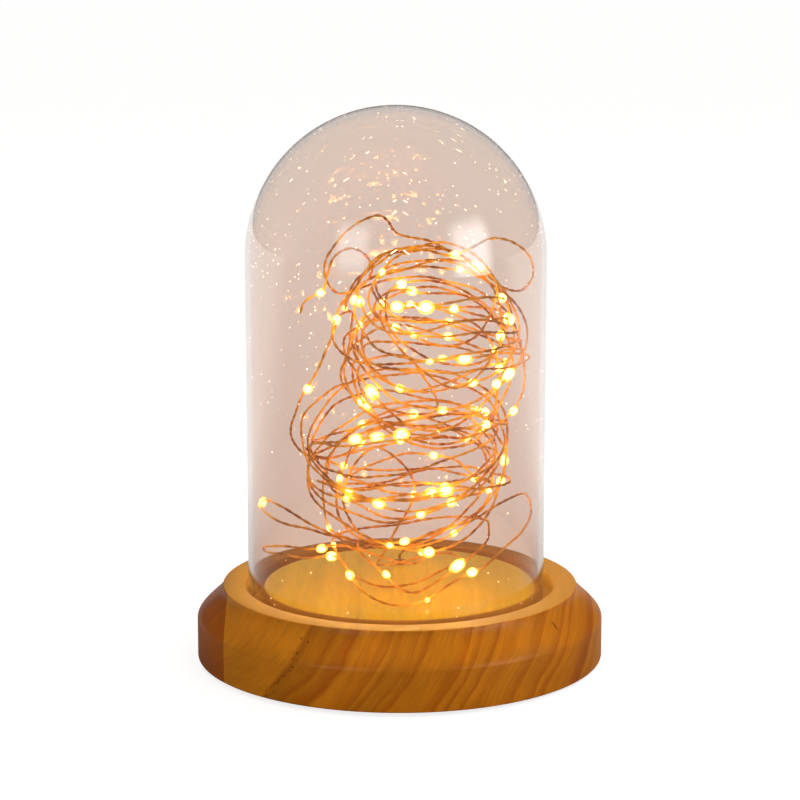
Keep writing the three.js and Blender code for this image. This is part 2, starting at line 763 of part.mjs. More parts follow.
function add(group, name, geometry, material) {
  const mesh = new THREE.Mesh(geometry, material);
  mesh.name = name;
  group.add(mesh);
}

add(baseGroup, "base_body", baseBody(), wood);
add(baseGroup, "wire_grommet", wireGrommet(), brass);
for (let i = 0; i < padCount; i += 1) {
  add(baseGroup, `felt_pad_${i + 1}`, feltPad((2 * Math.PI * (i + 1 / 2)) / padCount), felt);
}
add(domeGroup, "glass_dome", glassDome(), glass);

add(batteryGroup, "battery_box", batteryBox(), blackPlastic);
add(batteryGroup, "battery_cover", batteryCover(), blackPlastic);
screwXs.flatMap((x) => screwYs.map((y) => [x, y])).forEach(([x, y], i) => {
  add(batteryGroup, `box_screw_${i + 1}`, boxScrew(x, y), steel);
});
cellXs.forEach((_, i) => {
  add(batteryGroup, `cell_${i + 1}`, cell(i), cellJacket);
  add(batteryGroup, `cell_spring_${i + 1}`, cellSpring(i), steel);
});
add(batteryGroup, "positive_contact", contactPlate(0, 0, true), steel);
for (let i = 0; i < lastCell; i += 1) {
  add(batteryGroup, `bridge_contact_${i + 1}`, contactPlate(i, i + 1, !nubAtFront(i)), steel);
}
add(batteryGroup, "negative_contact", contactPlate(lastCell, lastCell, !nubAtFront(lastCell)), steel);
add(batteryGroup, "positive_lead", batteryLead("positive"), redLead);
add(batteryGroup, "negative_lead", batteryLead("negative"), blackLead);
add(batteryGroup, "circuit_board", circuitBoard(), boardGreen);
add(batteryGroup, "driver_chip", driverChip(), blackPlastic);
add(batteryGroup, "switch_body", switchBody(), blackPlastic);
add(batteryGroup, "switch_slider", switchSlider(), whitePlastic);

const riser = [boardTop + seatGap, riserTop].map((height) => new THREE.Vector3(wireX, wireY, height));
add(stringGroup, "light_wire_riser", tube(riser, wireDiameter, leadFacets), copper);
const stretches = squaredStretches(stringStretches());
for (const { name, points } of stretches) {
  add(stringGroup, name, tube(points, wireDiameter, wireFacets), copper);
  console.log(`${name}: least gap to itself ${leastGap(points).toFixed(2)} mm`);
}
const wholeString = stretches.flatMap(({ points }) => points);
console.log(`light wire: least gap to itself ${leastGap(wholeString).toFixed(2)} mm`);
dropPlaces(stretches).forEach((place, i) => {
  add(stringGroup, `light_drop_${String(i + 1).padStart(2, "0")}`, lightDrop(place), resin);
});

export default lamp;
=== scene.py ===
"""Bedside lamp: fairy lights in a tangle under a glass bell, on a turned wooden base."""
import json
import math
from functools import partial

import bmesh
import bpy
from bpy.props import FloatProperty, FloatVectorProperty, IntProperty, PointerProperty
from mathutils import Matrix, Vector
from mathutils.kdtree import KDTree
from mathutils.noise import noise_vector, seed_set

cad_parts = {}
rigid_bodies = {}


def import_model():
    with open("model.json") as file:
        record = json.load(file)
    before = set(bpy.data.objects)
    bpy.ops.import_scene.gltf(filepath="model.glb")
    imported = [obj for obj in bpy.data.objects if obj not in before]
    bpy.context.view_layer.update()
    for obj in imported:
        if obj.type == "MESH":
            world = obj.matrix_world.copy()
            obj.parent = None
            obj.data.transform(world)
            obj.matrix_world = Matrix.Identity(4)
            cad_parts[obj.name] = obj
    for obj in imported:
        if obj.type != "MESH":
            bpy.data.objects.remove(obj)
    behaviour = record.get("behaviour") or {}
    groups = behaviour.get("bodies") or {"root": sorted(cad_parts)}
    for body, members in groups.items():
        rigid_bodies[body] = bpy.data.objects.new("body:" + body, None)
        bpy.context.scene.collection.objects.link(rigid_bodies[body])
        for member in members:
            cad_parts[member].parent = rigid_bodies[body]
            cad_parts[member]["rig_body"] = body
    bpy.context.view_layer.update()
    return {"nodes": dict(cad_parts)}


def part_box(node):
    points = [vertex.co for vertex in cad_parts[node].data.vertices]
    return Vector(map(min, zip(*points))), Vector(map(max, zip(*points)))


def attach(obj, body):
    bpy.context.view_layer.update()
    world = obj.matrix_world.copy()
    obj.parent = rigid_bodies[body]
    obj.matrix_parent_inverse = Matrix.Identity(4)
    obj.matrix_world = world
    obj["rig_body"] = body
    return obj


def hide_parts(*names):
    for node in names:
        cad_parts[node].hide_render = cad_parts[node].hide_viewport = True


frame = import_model()

bl_info = {
    "name": "Bell Lamp",
    "version": (1, 0, 0),
    "blender": (4, 5, 0),
    "location": "View3D > Sidebar > Bell Lamp",
    "description": "Dresses a bedside lamp: glass bell, fairy lights and turned wooden base",
    "category": "Add Mesh",
}

MM = 0.001
PER_M = 1 / MM
FULL_TURN = 2 * math.pi
GOLDEN = 0.618034  # steps of this spread evenly and never repeat
MERGE = 1e-6  # points this near to each other, in metres, are one
SMOOTH = 35  # degrees up to which an edge is shaded smooth
# Steps in the curves of profiles, and round turned pieces
EDGE_STEPS, NUB_STEPS, RIM_STEPS, OGEE_STEPS, DOME_STEPS, WALL_STEPS = 4, 3, 8, 24, 48, 16
SMALL_STEPS, BELL_STEPS, BASE_STEPS, BORE_STEPS = 48, 160, 192, 32
SPRING_STEPS = 32  # for each turn

# Studio lights: name, (degrees right of the camera, elevation, distance), (width, height), power, and whether
# only reflections show it. The others light the lamp, and no reflection shows them.
LIGHTS = [
    ("softbox_left", (-33, 15, 1.2), (0.7, 0.95), 10.0, True),
    ("softbox_right", (59, 10, 1.2), (0.9, 1.1), 27.0, True),
    ("key", (85, 30, 1.3), (0.7, 0.7), 12.0, False),
    ("top", (-20, 75, 1.4), (1.0, 1.0), 3.2, False),
    ("fill", (-12, 6, 1.3), (0.7, 0.3), 5.0, False),
]
LIGHTS_AIM = Vector((0, 0, 0.12))
FLOOR_HALF = 12  # metres from the floor's middle to its edge

# Light wire: the same route as the solids follow, in millimetres
STRAY_SEED = 3  # which of the many ways the coils stray
COIL_STEP = 1 / 24  # of a turn, the solids' step, which the listed stretches lead into
FINE = 8  # points of the line for each step or listed place
WIRE_STEP = 1.1 * MM  # from one point of the finished line to the next
STRAND_GAP = 0.03 * MM  # from a strand to the wire's middle line
RISER_GAP, RISER_STRAIGHT = 0.15, 1.4  # from the riser to the loose wire, and how far that goes straight up
GLASS_SHARE = 0.7  # of the way to the glass is room for bends
LOWER_COIL = {
    "from": (4, 2, 66), "to": (1.17, 2, 94.25), "side": 43.01, "depth": 41.16,
    "turns": 15, "begin": 0.313, "stack": 1.6, "widest": 0.647,
    "tilt": (-1.49, 35.29, 0.313, 0.214), "lean": (5.42, 14.76, 0.329, 0.319), "pitch": 20.12,
}
UPPER_COIL = {
    "from": (11.86, -1.9, 112.3), "to": (16.68, -1.9, 154.19), "side": 37.33, "depth": 36.75,
    "turns": 17, "begin": 0.29, "stack": 1.4, "widest": 0.338,
    "tilt": (3.47, 40.03, 0.5, 0.91), "lean": (-7.78, 13.57, 0.493, 0.259), "pitch": 25.65,
}
BASE_LOOP_ROUTE = [
    # round the back to the loop on the right, and along the front of the plate
    (10.5, 36, 41), (29.5, 34, 48), (43.5, 22, 59.5), (52, 6, 66.5), (52.5, -8, 62), (46.5, -20, 55),
    (36.5, -30, 49), (22, -36, 40.5), (7, -38, 32.5), (-4, -38.5, 32), (-13, -36, 35.5), (-19.5, -32, 42.5),
    # out to the glass on the left, and back under the tangle
    (-25, -27, 47.5), (-36, -22, 46), (-46.5, -15, 46.5), (-54, -9, 46), (-55, -6.5, 47), (-46.5, -6, 47),
    (-35.5, -8, 47.5), (-26.5, -11, 49.5), (-17, -9, 47), (-6, -5, 42.5), (5, 2, 38), (10.5, 14, 37.5),
    # a turn at the back, and out to the glass once more, higher up
    (3.5, 24, 40), (-8, 18, 43.5), (-15.7, 3.9, 43.6), (-18.5, -16, 52), (-25.8, -21.4, 55.4),
    (-29.5, -20, 56), (-36, -18, 57.5), (-44.5, -14, 58.5), (-51, -10.5, 60.5), (-55.5, -6, 63.5),
    (-54.5, -5, 66), (-48.5, -6, 64), (-41, -8, 60.5), (-34, -11, 57), (-28, -12, 54), (-20.5, -16, 50),
    # a low loop across the front, the right and the back
    (-8, -22, 41.5), (0, -24, 34.5), (6, -25, 33), (13, -24, 36), (22, -21, 43), (32, -14, 49.5),
    (37.5, 4, 52), (33.5, 22, 53), (19, 32, 50), (0, 33, 47), (-17.5, 24, 46), (-27.5, 8, 46),
    # a smaller loop on the plate
    (-25, -6, 43), (-19, -11, 37), (-8, -13, 32.5), (5, -12, 33.5), (17, -5, 37), (24.5, 6, 38),
    (21.5, 18, 38), (8.5, 26, 34), (-5, 20, 32.5), (-9.5, 8, 36), (-6.5, -2, 43.5),
    # up through the lower coil's open middle
    (2, 4, 56), (6, 12, 67), (2, 20, 75),
]
CLIMB_ROUTE = [
    # from the lower coil up the left side, round a loop, and into the upper coil from below
    (-19.5, 26, 80.5), (-30.7, 18.8, 77.1), (-40.7, 17.8, 80.8), (-43.8, 4.9, 93.2), (-41, -5, 105),
    (-34, -8, 118), (-27, -4, 131), (-25, 8, 138), (-20, 21, 139), (-21, 28, 125), (-24, 22, 112),
    (-14, 12, 103), (2, 9, 100), (14, 14, 99), (15, 23, 100.5),
]
TAIL_ROUTE = [
    # down the left, over the front to the loop at the top right
    (-2, 26, 161.5), (-8, 26, 158), (-16, 19, 153.5), (-21, 12, 146.5), (-22.5, 0, 142.5), (-20, -13, 147.5),
    (-16, -20, 158), (-9.5, -22, 166), (0, -22, 170), (10, -20, 169.5), (19.5, -16, 167), (27.5, -12, 170),
    (36, -8, 173), (45.5, -4, 170), (52, 0, 163.5), (53.5, 4, 156), (49.5, 12, 149), (41, 26, 149),
    # behind the coil to the loops at the top left
    (29, 32, 157.5), (16.5, 33, 164), (5, 30, 167.5), (-1, 22, 171), (-4.5, 14, 176), (-10, 6, 179),
    (-19, 0, 175.5), (-25, -4, 169), (-29, -4, 162), (-29.5, -1, 155), (-26, 1, 150), (-23, 1, 149.5),
    (-13, -1, 154), (-10.5, -2, 159), (-13.5, -6, 165.5), (-19, -10, 168.5), (-24.5, -12, 166),
    # the free end
    (-27.5, -14, 160.5), (-29.5, -14, 155.5), (-31.5, -13, 151.5), (-35, -12, 149.5), (-38, -12, 147),
    (-39.5, -12, 143),
]
LIGHT_PLACES = [
    # drops that are seen best, in millimetres: near the plate, on the lower coil, on the upper coil
    (-55, -5, 65), (-27, -26, 48), (-19, -32, 42), (23, -21, 43), (28, -34, 44), (2, -14, 48), (12, -26, 54),
    (-32, -9, 48), (-7, -24, 53),
    (13, -30, 77), (18, -26, 76), (18, -32, 75), (-10, -35, 70), (9, -29, 66), (-16, -31, 98), (33, -22, 100),
    (0, -35, 102), (-9, -36, 96), (37, -8, 103),
    (0, -26, 151), (5, 9, 153), (10, -32, 149), (2, 13, 149), (-13, -9, 149), (-16, -4, 147), (-21, -2, 138),
    (22, -15, 167), (32, 2, 162), (40, -11, 147), (43, -3, 141), (38, -11, 135), (41, -7, 119), (47, 0, 114),
    (40, -7, 114), (43, 0, 105), (24, -28, 123), (30, -14, 113), (-13, -16, 110), (-37, -8, 113),
    (1, -20, 116),
]
DROP_REACH = 10  # points of the line to either side in which a drop may find its place
DROP_ROOM = 4 * MM  # more room than this to the next pass of the wire is of no use
SAME_PASS = 8  # points of the line that are still the same pass of the wire
SMALL_DROP, LARGE_DROP = 0.56, 0.82  # least sizes of a drop anywhere, and where it is seen best
DROP_GROWTH, DROP_BIAS = 0.5, 1.6  # what the largest have more, and how few of them are large
SHORTEST, LONGER = 0.8, 0.45  # length of the shortest drop for its width, and what the longest has more
DROP_FLATNESS, DROP_SAG = 0.85, 0.25  # one width for the other, and how far a drop has run to one side

# Wood, in millimetres
LOG_HEART = (-165, 0, 118)  # where the growth rings have their middle
LOG_TAPER = 0.03  # how much the rings change from front to back
FIBRE_DRAW = 0.1  # patterns are drawn out tenfold along the fibres
RING_SWAY, YEARS_SWAY = 11.0, 15.0  # how far the rings sway, and how uneven they are
# the slanting joint: X at the foot, X for each millimetre up, and how far it sways
JOINT_FOOT, JOINT_LEAN, JOINT_SWAY = -55.3, 0.71, 5.0
DARK_STAVE_EDGE = -69
PORE_LINE, PORE_SPREAD = 3.4, 2.6  # how far right of the joint the pores lie, and how widely they lie
CHECK_PLACE, CHECK_SIZE, CHECK_TURN = (60.6, -46.0, 25.3), (2.6, 6.0, 0.35), 52  # half sizes, and degrees
UNDER_TOP, TOP = 20.0, 30.0  # heights above which wood belongs to the top, and is lacquered as the top


def linear(code):
    """An sRGB hex colour as linear red, green, blue and a full alpha."""
    shares = [int(code[i:i + 2], 16) / 255 for i in (1, 3, 5)]
    return (*[s / 12.92 if s <= 0.04045 else ((s + 0.055) / 1.055) ** 2.4 for s in shares], 1.0)


def size_mm(name, description, millimetres):
    """A length that a user may change, given in millimetres."""
    return FloatProperty(name=name, description=description, default=millimetres * MM, unit="LENGTH")


def amount(name, description, default):
    """A strength of light or colour that a user may change."""
    return FloatProperty(name=name, description=description, default=default, min=0)


def colour(name, description, code):
    """A colour that a user may change."""
    return FloatVectorProperty(
        name=name, description=description, subtype="COLOR", size=4, min=0, max=1, default=linear(code)
    )


class StageSettings(bpy.types.PropertyGroup):
    """Camera and studio light"""
    lens: FloatProperty(name="Lens", description="Focal length on a 36 mm sensor", default=117, unit="CAMERA")
    distance: size_mm("Camera distance", "From the camera to the point it looks at", 1044.66)
    elevation: FloatProperty(
        name="Camera elevation", description="Above the horizon", default=math.radians(11.39), unit="ROTATION"
    )
    aim_height: size_mm("Aim height", "Height of the point that the camera looks at", 106.1)
    aim_right: size_mm("Aim to the right", "How far right of the lamp's middle that point is", 0.14)
    ambient: amount("Ambient light", "Even light from all sides", 0.42)
    reflected: amount("Reflected light", "The room in reflections", 0.1)
    paper: colour("Floor", "Colour of the floor and of the room behind", "#ffffff")


class LightStringSettings(bpy.types.PropertyGroup):
    """Copper wire with light drops"""
    wire_width: size_mm("Wire width", "Width of the twisted pair", 1.12)
    strand_width: size_mm("Strand width", "Width of one enamelled strand", 0.57)
    twist_pitch: size_mm("Twist", "Length of one full turn of the pair", 9)
    bend: size_mm("Bends", "How far small bends lead off the route", 1.6)
    bend_length: size_mm("Bend length", "From one small bend to the next", 17)
    bend_room: size_mm("Bend room", "Nearer than this to the plate or the glass, bends are smaller", 10)
    wander: size_mm("Wander", "How far the coils' turns stray", 8)
    wander_length: size_mm("Wander length", "From one stray turn to the next", 60)
    drop_width: size_mm("Drop width", "Across the wire", 4.1)
    drop_length: size_mm("Drop length", "Along the wire", 5.6)
    core_width: size_mm("Core width", "Across the lit middle of a drop", 2.2)
    core_length: size_mm("Core length", "Along the lit middle of a drop", 3.6)
    chip_width: size_mm("Chip width", "Across the chip in a drop", 1.2)
    between: IntProperty(name="Drops between", description="Drops between two of the solids'", default=1)
    brightness: amount("Chip brightness", "Light of a lit chip", 400)
    heart: amount("Core glow", "Light of the resin on the chip", 27)
    glow: amount("Drop glow", "Light of the resin round the chip", 2.4)
    # painted glow: how brightly the wire glows near a drop, and how far from the drop that reaches
    painted_glow: amount("Caught light", "Light that the enamel carries along from a drop", 1.7)
    painted_glow_reach: size_mm("Caught light's reach", "How far from a drop the enamel glows", 12)
    light: colour("Light", "Colour of the chips' light", "#ffec9c")
    amber: colour("Resin", "Colour of the glowing resin", "#ffc64a")
    copper: colour("Copper", "Enamelled copper", "#f6b642")
    # a darker copper laid on in patches: partly the copper's own tone, partly painted shade
    dark_copper_and_shade: colour("Dark copper", "Copper that has gone dark", "#a05e14")


class BellSettings(bpy.types.PropertyGroup):
    """Glass bell"""
    wall: size_mm("Wall", "Thickness of the glass", 2)
    tint: colour("Tint", "Colour of light after one wall, at the top", "#f3e8e1")
    foot_tint: colour("Foot tint", "Colour of light after one wall, at the foot", "#e8d7ce")
    body: colour("Glass body", "Colour that a long way through the glass takes on", "#d9b7a3")
    # painted glints: the light of the glowing specks that stand in for reflections in the glass
    glint: amount("Glint", "Light of a seed in the glass", 3.5)
    density: amount("Density", "How fast the glass takes on its colour", 12)


class BaseSettings(bpy.types.PropertyGroup):
    """Turned wooden base"""
    ring_width: size_mm("Ring diameter", "Outer edge of the flat ring", 143.8)
    side_height: size_mm("Side height", "Upright part of the side", 16)
    ogee_pull: size_mm("Ogee pull", "How upright the ogee starts and ends", 3.4)
    groove_depth: size_mm("Groove depth", "Below the ring", 7)
    groove_outer: size_mm("Groove outer radius", "Outer wall of the groove", 62.8)
    groove_inner: size_mm("Groove inner radius", "Edge of the middle plate", 55.2)
    plate_drop: size_mm("Plate drop", "How far the plate lies under the ring", 0.3)
    edge: size_mm("Broken edge", "Radius of the sanded edges", 0.6)
    foot: size_mm("Foot bevel", "Radius at the foot", 0.8)
    ring_spacing: size_mm("Growth rings", "From one growth ring to the next", 7.2)
    early: colour("Early wood", "Light part of a growth ring", "#cd7a12")
    late: colour("Late wood", "Dark part of a growth ring", "#a04202")
    light_stave: colour("Light stave", "The lighter stave on the left", "#d28016")
    dark_stave: colour("Dark stave", "The darker stave that is glued on at the far left", "#9e4806")
    # a lighter tone for the ring and the groove: painted light from above
    top: colour("Top", "The ring and the groove, with less stain", "#c5954c")
    plate: colour("Plate", "The unstained plate under the glass", "#ccae22")


class PowerSettings(bpy.types.PropertyGroup):
    """Feet, grommet, battery box, cells and circuit under the base"""
    play: size_mm("Play", "Between the battery box and its pocket", 0.4)
    edge: size_mm("Moulded edge", "Radius of the moulded edges", 0.3)
    bore: size_mm("Grommet bore", "Radius of the hole for the wire", 0.65)
    sleeve: size_mm("Grommet sleeve", "Radius of the part in the wood", 1.8)
    flange: size_mm("Grommet flange", "Height of the part on the plate", 0.8)
    cell_edge: size_mm("Cell edge", "Radius of a cell's edges", 0.8)
    nub_width: size_mm("Nub width", "Across a cell's plus end", 5.5)
    nub_height: size_mm("Nub height", "Of a cell's plus end", 1.2)
    spring_wire: size_mm("Spring wire", "Thickness of the spring wire", 0.7)
    spring_narrow: size_mm("Spring end", "Width of a spring where it meets its cell", 5.6)
    spring_turns: IntProperty(name="Spring turns", description="Turns of a cell's spring", default=3)
    lead_width: size_mm("Lead width", "Thickness of a battery lead", 1.2)
    lead_bend: size_mm("Lead bend", "Radius of a lead's bends", 1.5)


class LampSettings(bpy.types.PropertyGroup):
    """All the lamp's settings"""
    stage: PointerProperty(type=StageSettings)
    string: PointerProperty(type=LightStringSettings)
    bell: PointerProperty(type=BellSettings)
    base: PointerProperty(type=BaseSettings)
    power: PointerProperty(type=PowerSettings)


def fill(node, inputs):
    """Sets a node's sockets, by name or number, to values, or links them to other nodes or their outputs."""
    for name, value in inputs.items():
        if isinstance(value, bpy.types.Node):
            value = next(output for output in value.outputs if output.enabled)
        if isinstance(value, bpy.types.NodeSocket):
            node.id_data.links.new(value, node.inputs[name])
        else:
            node.inputs[name].default_value = value


def add_node(tree, kind, inputs=None, stops=(), ramp="LINEAR", **settings):
    """Adds a shader node with its settings, its sockets and the stops of its colour ramp."""
    node = tree.nodes.new("ShaderNode" + kind)
    for name, value in settings.items():
        setattr(node, name, value)
    fill(node, inputs or {})
    for i, (place, value) in enumerate(stops):
        node.color_ramp.interpolation = ramp
        elements = node.color_ramp.elements
        stop = elements[i] if i < 2 else elements.new(place)
        stop.position, stop.color = place, value
    return node


def new_material(name):
    """A node material, a function that adds nodes to it, and its main shader."""
    material = bpy.data.materials.new(name)
    material.use_nodes = True
    tree = material.node_tree
    return material, partial(add_node, tree), tree.nodes["Principled BSDF"]


def cad_nodes(word):
    """The CAD nodes with a word in their names, in order."""
    return [node for node in sorted(frame["nodes"]) if word in node]


def object_from(bm, name, material, sharp_degrees=SMOOTH):
    """Puts a finished bmesh into a new object at the origin, shaded smooth up to an angle."""
    mesh = bpy.data.meshes.new(name)
    bm.to_mesh(mesh)
    bm.free()
    mesh.shade_smooth()
    mesh.set_sharp_from_angle(angle=math.radians(sharp_degrees))
    mesh.materials.append(material)
    made = bpy.data.objects.new(name, mesh)
    bpy.context.scene.collection.objects.link(made)
    return made


def settle(piece, body, nodes):
    """A piece moves with a body and stands for CAD nodes, which it hides."""
    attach(piece, body)
    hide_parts(*nodes)
    return piece


def dress(node, material, edge):
    """A copy of a CAD node with its flats joined up and its edges rounded, which stands for the node."""
    flat, sharp = math.radians(2), math.radians(40)
    cad = frame["nodes"][node]
    bm = bmesh.new()
    bm.from_mesh(cad.data)
    bmesh.ops.remove_doubles(bm, verts=bm.verts, dist=MERGE)
    bmesh.ops.dissolve_limit(bm, angle_limit=flat, verts=bm.verts, edges=bm.edges)
    bmesh.ops.bevel(
        bm, geom=[e for e in bm.edges if len(e.link_faces) == 2 and e.calc_face_angle() > sharp], offset=edge,
        offset_type="OFFSET", affect="EDGES", segments=2, profile=0.5, material=-1, clamp_overlap=True,
    )
    bmesh.ops.recalc_face_normals(bm, faces=bm.faces)
    return settle(object_from(bm, "shown_" + node, material), cad["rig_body"], [node])


def carve(piece, cutters):
    """Cuts closed bmeshes out of a piece."""
    made = [object_from(bm, "cutter", piece.data.materials[0]) for bm in cutters]
    for cutter in made:
        cut = piece.modifiers.new("cut", "BOOLEAN")
        cut.object = cutter
        cut.solver = "EXACT"
    mesh = bpy.data.meshes.new_from_object(piece.evaluated_get(bpy.context.evaluated_depsgraph_get()))
    piece.modifiers.clear()
    piece.data = mesh
    mesh.set_sharp_from_angle(angle=math.radians(SMOOTH))
    for cutter in made:
        bpy.data.objects.remove(cutter)


def block(low, high):
    """A bmesh of a box between two corners."""
    bm = bmesh.new()
    size = Matrix.Diagonal((*(high - low), 1))
    bmesh.ops.create_cube(bm, size=1, matrix=Matrix.Translation((low + high) / 2) @ size)
    return bm


def rounded(corners, radius, steps=6):
    """A line through corners, with each inner corner rounded off."""
    line = [corners[0]]
    for before, corner, after in zip(corners, corners[1:], corners[2:]):
        start, end = [
            corner + (far - corner).normalized() * min(radius, (far - corner).length / 2)
            for far in (before, after)
        ]
        for i in range(steps + 1):
            t = i / steps
            line.append(start * (1 - t) ** 2 + corner * 2 * t * (1 - t) + end * t**2)
    return [*line, corners[-1]]


def turned(profile, steps, box=None):
    """A bmesh of a profile of (radius, height) pairs turned about the Z axis, or about a box's middle."""
    bm = bmesh.new()
    verts = [bm.verts.new((radius, 0, height)) for radius, height in profile]
    edges = [bm.edges.new(pair) for pair in zip(verts, verts[1:])]
    bmesh.ops.spin(
        bm, geom=verts + edges, cent=(0, 0, 0), axis=(0, 0, 1), angle=FULL_TURN, steps=steps, use_merge=True
    )
    bmesh.ops.remove_doubles(bm, verts=bm.verts, dist=MERGE)
    bmesh.ops.recalc_face_normals(bm, faces=bm.faces)
    if box:
        low, high = box
        bmesh.ops.translate(bm, verts=bm.verts, vec=((low.x + high.x) / 2, (low.y + high.y) / 2, 0))
    return bm


def arc(centre, radius, start, end, steps=EDGE_STEPS):
    """Points on an arc of a profile, in degrees."""
    angles = [math.radians(start + (end - start) * i / steps) for i in range(steps + 1)]
    return [(centre[0] + radius * math.cos(a), centre[1] + radius * math.sin(a)) for a in angles]


def bezier(ends, pulls, steps):
    """Points on a cubic curve of a profile."""
    (a, d), (b, c) = [[Vector(p) for p in pair] for pair in (ends, pulls)]
    shares = [i / steps for i in range(steps + 1)]
    return [
        tuple(a * (1 - t) ** 3 + b * 3 * t * (1 - t) ** 2 + c * 3 * t**2 * (1 - t) + d * t**3) for t in shares
    ]


def coil_place(coil, turn):
    """One place on a coil after so many turns, as in the part's source."""
    tilt, lean = [
        math.radians(middle + reach * math.sin(FULL_TURN * (per_turn * turn + phase)))
        for middle, reach, per_turn, phase in (coil["tilt"], coil["lean"])
    ]
    angle = FULL_TURN * (turn + coil["begin"])
    inset = coil["stack"] * abs(turn - coil["widest"] * coil["turns"])
    flat = Vector(((coil["side"] - inset) * math.cos(angle), (coil["depth"] - inset) * math.sin(angle), 0))
    first, last = Vector(coil["from"]), Vector(coil["to"])
    heart = first.lerp(last, 0.5)
    loop = first.lerp(last, turn / coil["turns"]) - heart
    loop += Matrix.Rotation(-lean, 3, "Y") @ Matrix.Rotation(tilt, 3, "X") @ flat
    return heart + Matrix.Rotation(math.radians(coil["pitch"]), 3, "X") @ loop


def smooth_line(places):
    """A centripetal Catmull-Rom line through listed places."""
    line = []
    padded = [2 * places[0] - places[1], *places, 2 * places[-1] - places[-2]]
    for p0, p1, p2, p3 in zip(padded, padded[1:], padded[2:], padded[3:]):
        d0, d1, d2 = [math.sqrt((b - a).length) for a, b in ((p0, p1), (p1, p2), (p2, p3))]
        t1 = ((p1 - p0) / d0 - (p2 - p0) / (d0 + d1) + (p2 - p1) / d1) * d1
        t2 = ((p2 - p1) / d1 - (p3 - p1) / (d1 + d2) + (p3 - p2) / d2) * d1
        for i in range(FINE):
            t = i / FINE
            line.append(
                p1 + t1 * t + (-3 * p1 + 3 * p2 - 2 * t1 - t2) * t**2 + (2 * p1 - 2 * p2 + t1 + t2) * t**3
            )
    return [*line, places[-1]]


def even_line(points, spacing):
    """The line again, with points at an even spacing."""
    total = sum((b - a).length for a, b in zip(points, points[1:]))
    count = round(total / spacing)
    step = total / count
    made = [points[0]]
    travelled = 0
    for a, b in zip(points, points[1:]):
        length = (b - a).length
        while len(made) <= count and len(made) * step <= travelled + length + 1e-9:
            made.append(a.lerp(b, (len(made) * step - travelled) / length))
        travelled += length
    return made


def stray(settings, coil, turn):
    """How far a coil strays from an even winding after so many turns, in millimetres. Its ends stay put."""
    travelled = FULL_TURN * coil["side"] * turn * MM
    fade = min(turn, coil["turns"] - turn, 1)
    return noise_vector((travelled / settings.wander_length, coil["side"], 0)) * settings.wander / MM * fade


def wire_route(settings):
    """The light wire's middle line from the circuit board to its free end, in metres."""
    seed_set(STRAY_SEED)
    riser_low, riser_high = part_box("light_wire_riser")
    middle = (riser_low + riser_high) / 2 / MM
    low, high = riser_low.z / MM, riser_high.z / MM
    step = COIL_STEP / FINE
    lower, upper = [
        [
            coil_place(coil, i * step) + stray(settings, coil, i * step)
            for i in range(round(coil["turns"] / step) + 1)
        ]
        for coil in (LOWER_COIL, UPPER_COIL)
    ]
    start = Vector((middle.x, middle.y, high + RISER_GAP))
    above = start + Vector((0, 0, RISER_STRAIGHT))
    loops = [start, above, *[Vector(p) for p in BASE_LOOP_ROUTE], lower[0], lower[FINE]]
    climb = [lower[-1 - FINE], lower[-1], *[Vector(p) for p in CLIMB_ROUTE], upper[0], upper[FINE]]
    tail = [upper[-1 - FINE], upper[-1], *[Vector(p) for p in TAIL_ROUTE]]
    whole = [
        Vector((middle.x, middle.y, low)),
        *smooth_line(loops)[:-FINE - 1],
        *lower[:-1],
        *smooth_line(climb)[FINE:-FINE - 1],
        *upper[:-1],
        *smooth_line(tail)[FINE:],
    ]
    return [p * MM for p in whole]


def carried_sides(points):
    """At each point of a line two directions across it, carried along without twist, and one along it."""
    side = Vector((1, 0, 0))
    sides = []
    last = len(points) - 1
    for i in range(len(points)):
        along = (points[min(i + 1, last)] - points[max(i - 1, 0)]).normalized()
        side = (side - along * side.dot(along)).normalized()
        sides.append((side, along.cross(side), along))
    return sides


def nearest_points(points):
    """A tree that finds the nearest of some points."""
    tree = KDTree(len(points))
    for i, point in enumerate(points):
        tree.insert(point, i)
    tree.balance()
    return tree


def tubes(name, lines, width, material, sides=1):
    """A mesh object of round tubes along lines of points."""
    curve = bpy.data.curves.new(name, "CURVE")
    curve.dimensions = "3D"
    curve.bevel_depth = width / 2
    curve.bevel_resolution = sides
    curve.use_fill_caps = True
    for line in lines:
        spline = curve.splines.new("POLY")
        spline.points.add(len(line) - 1)
        spline.points.foreach_set("co", [x for p in line for x in (*p, 1)])
    bent = bpy.data.objects.new(name + "_line", curve)
    mesh = bpy.data.meshes.new_from_object(bent)
    bpy.data.objects.remove(bent)
    bpy.data.curves.remove(curve)
    bm = bmesh.new()
    bm.from_mesh(mesh)
    bpy.data.meshes.remove(mesh)
    bmesh.ops.remove_doubles(bm, verts=bm.verts, dist=MERGE / 10)
    bmesh.ops.recalc_face_normals(bm, faces=bm.faces)
    return object_from(bm, name, material, sharp_degrees=70)


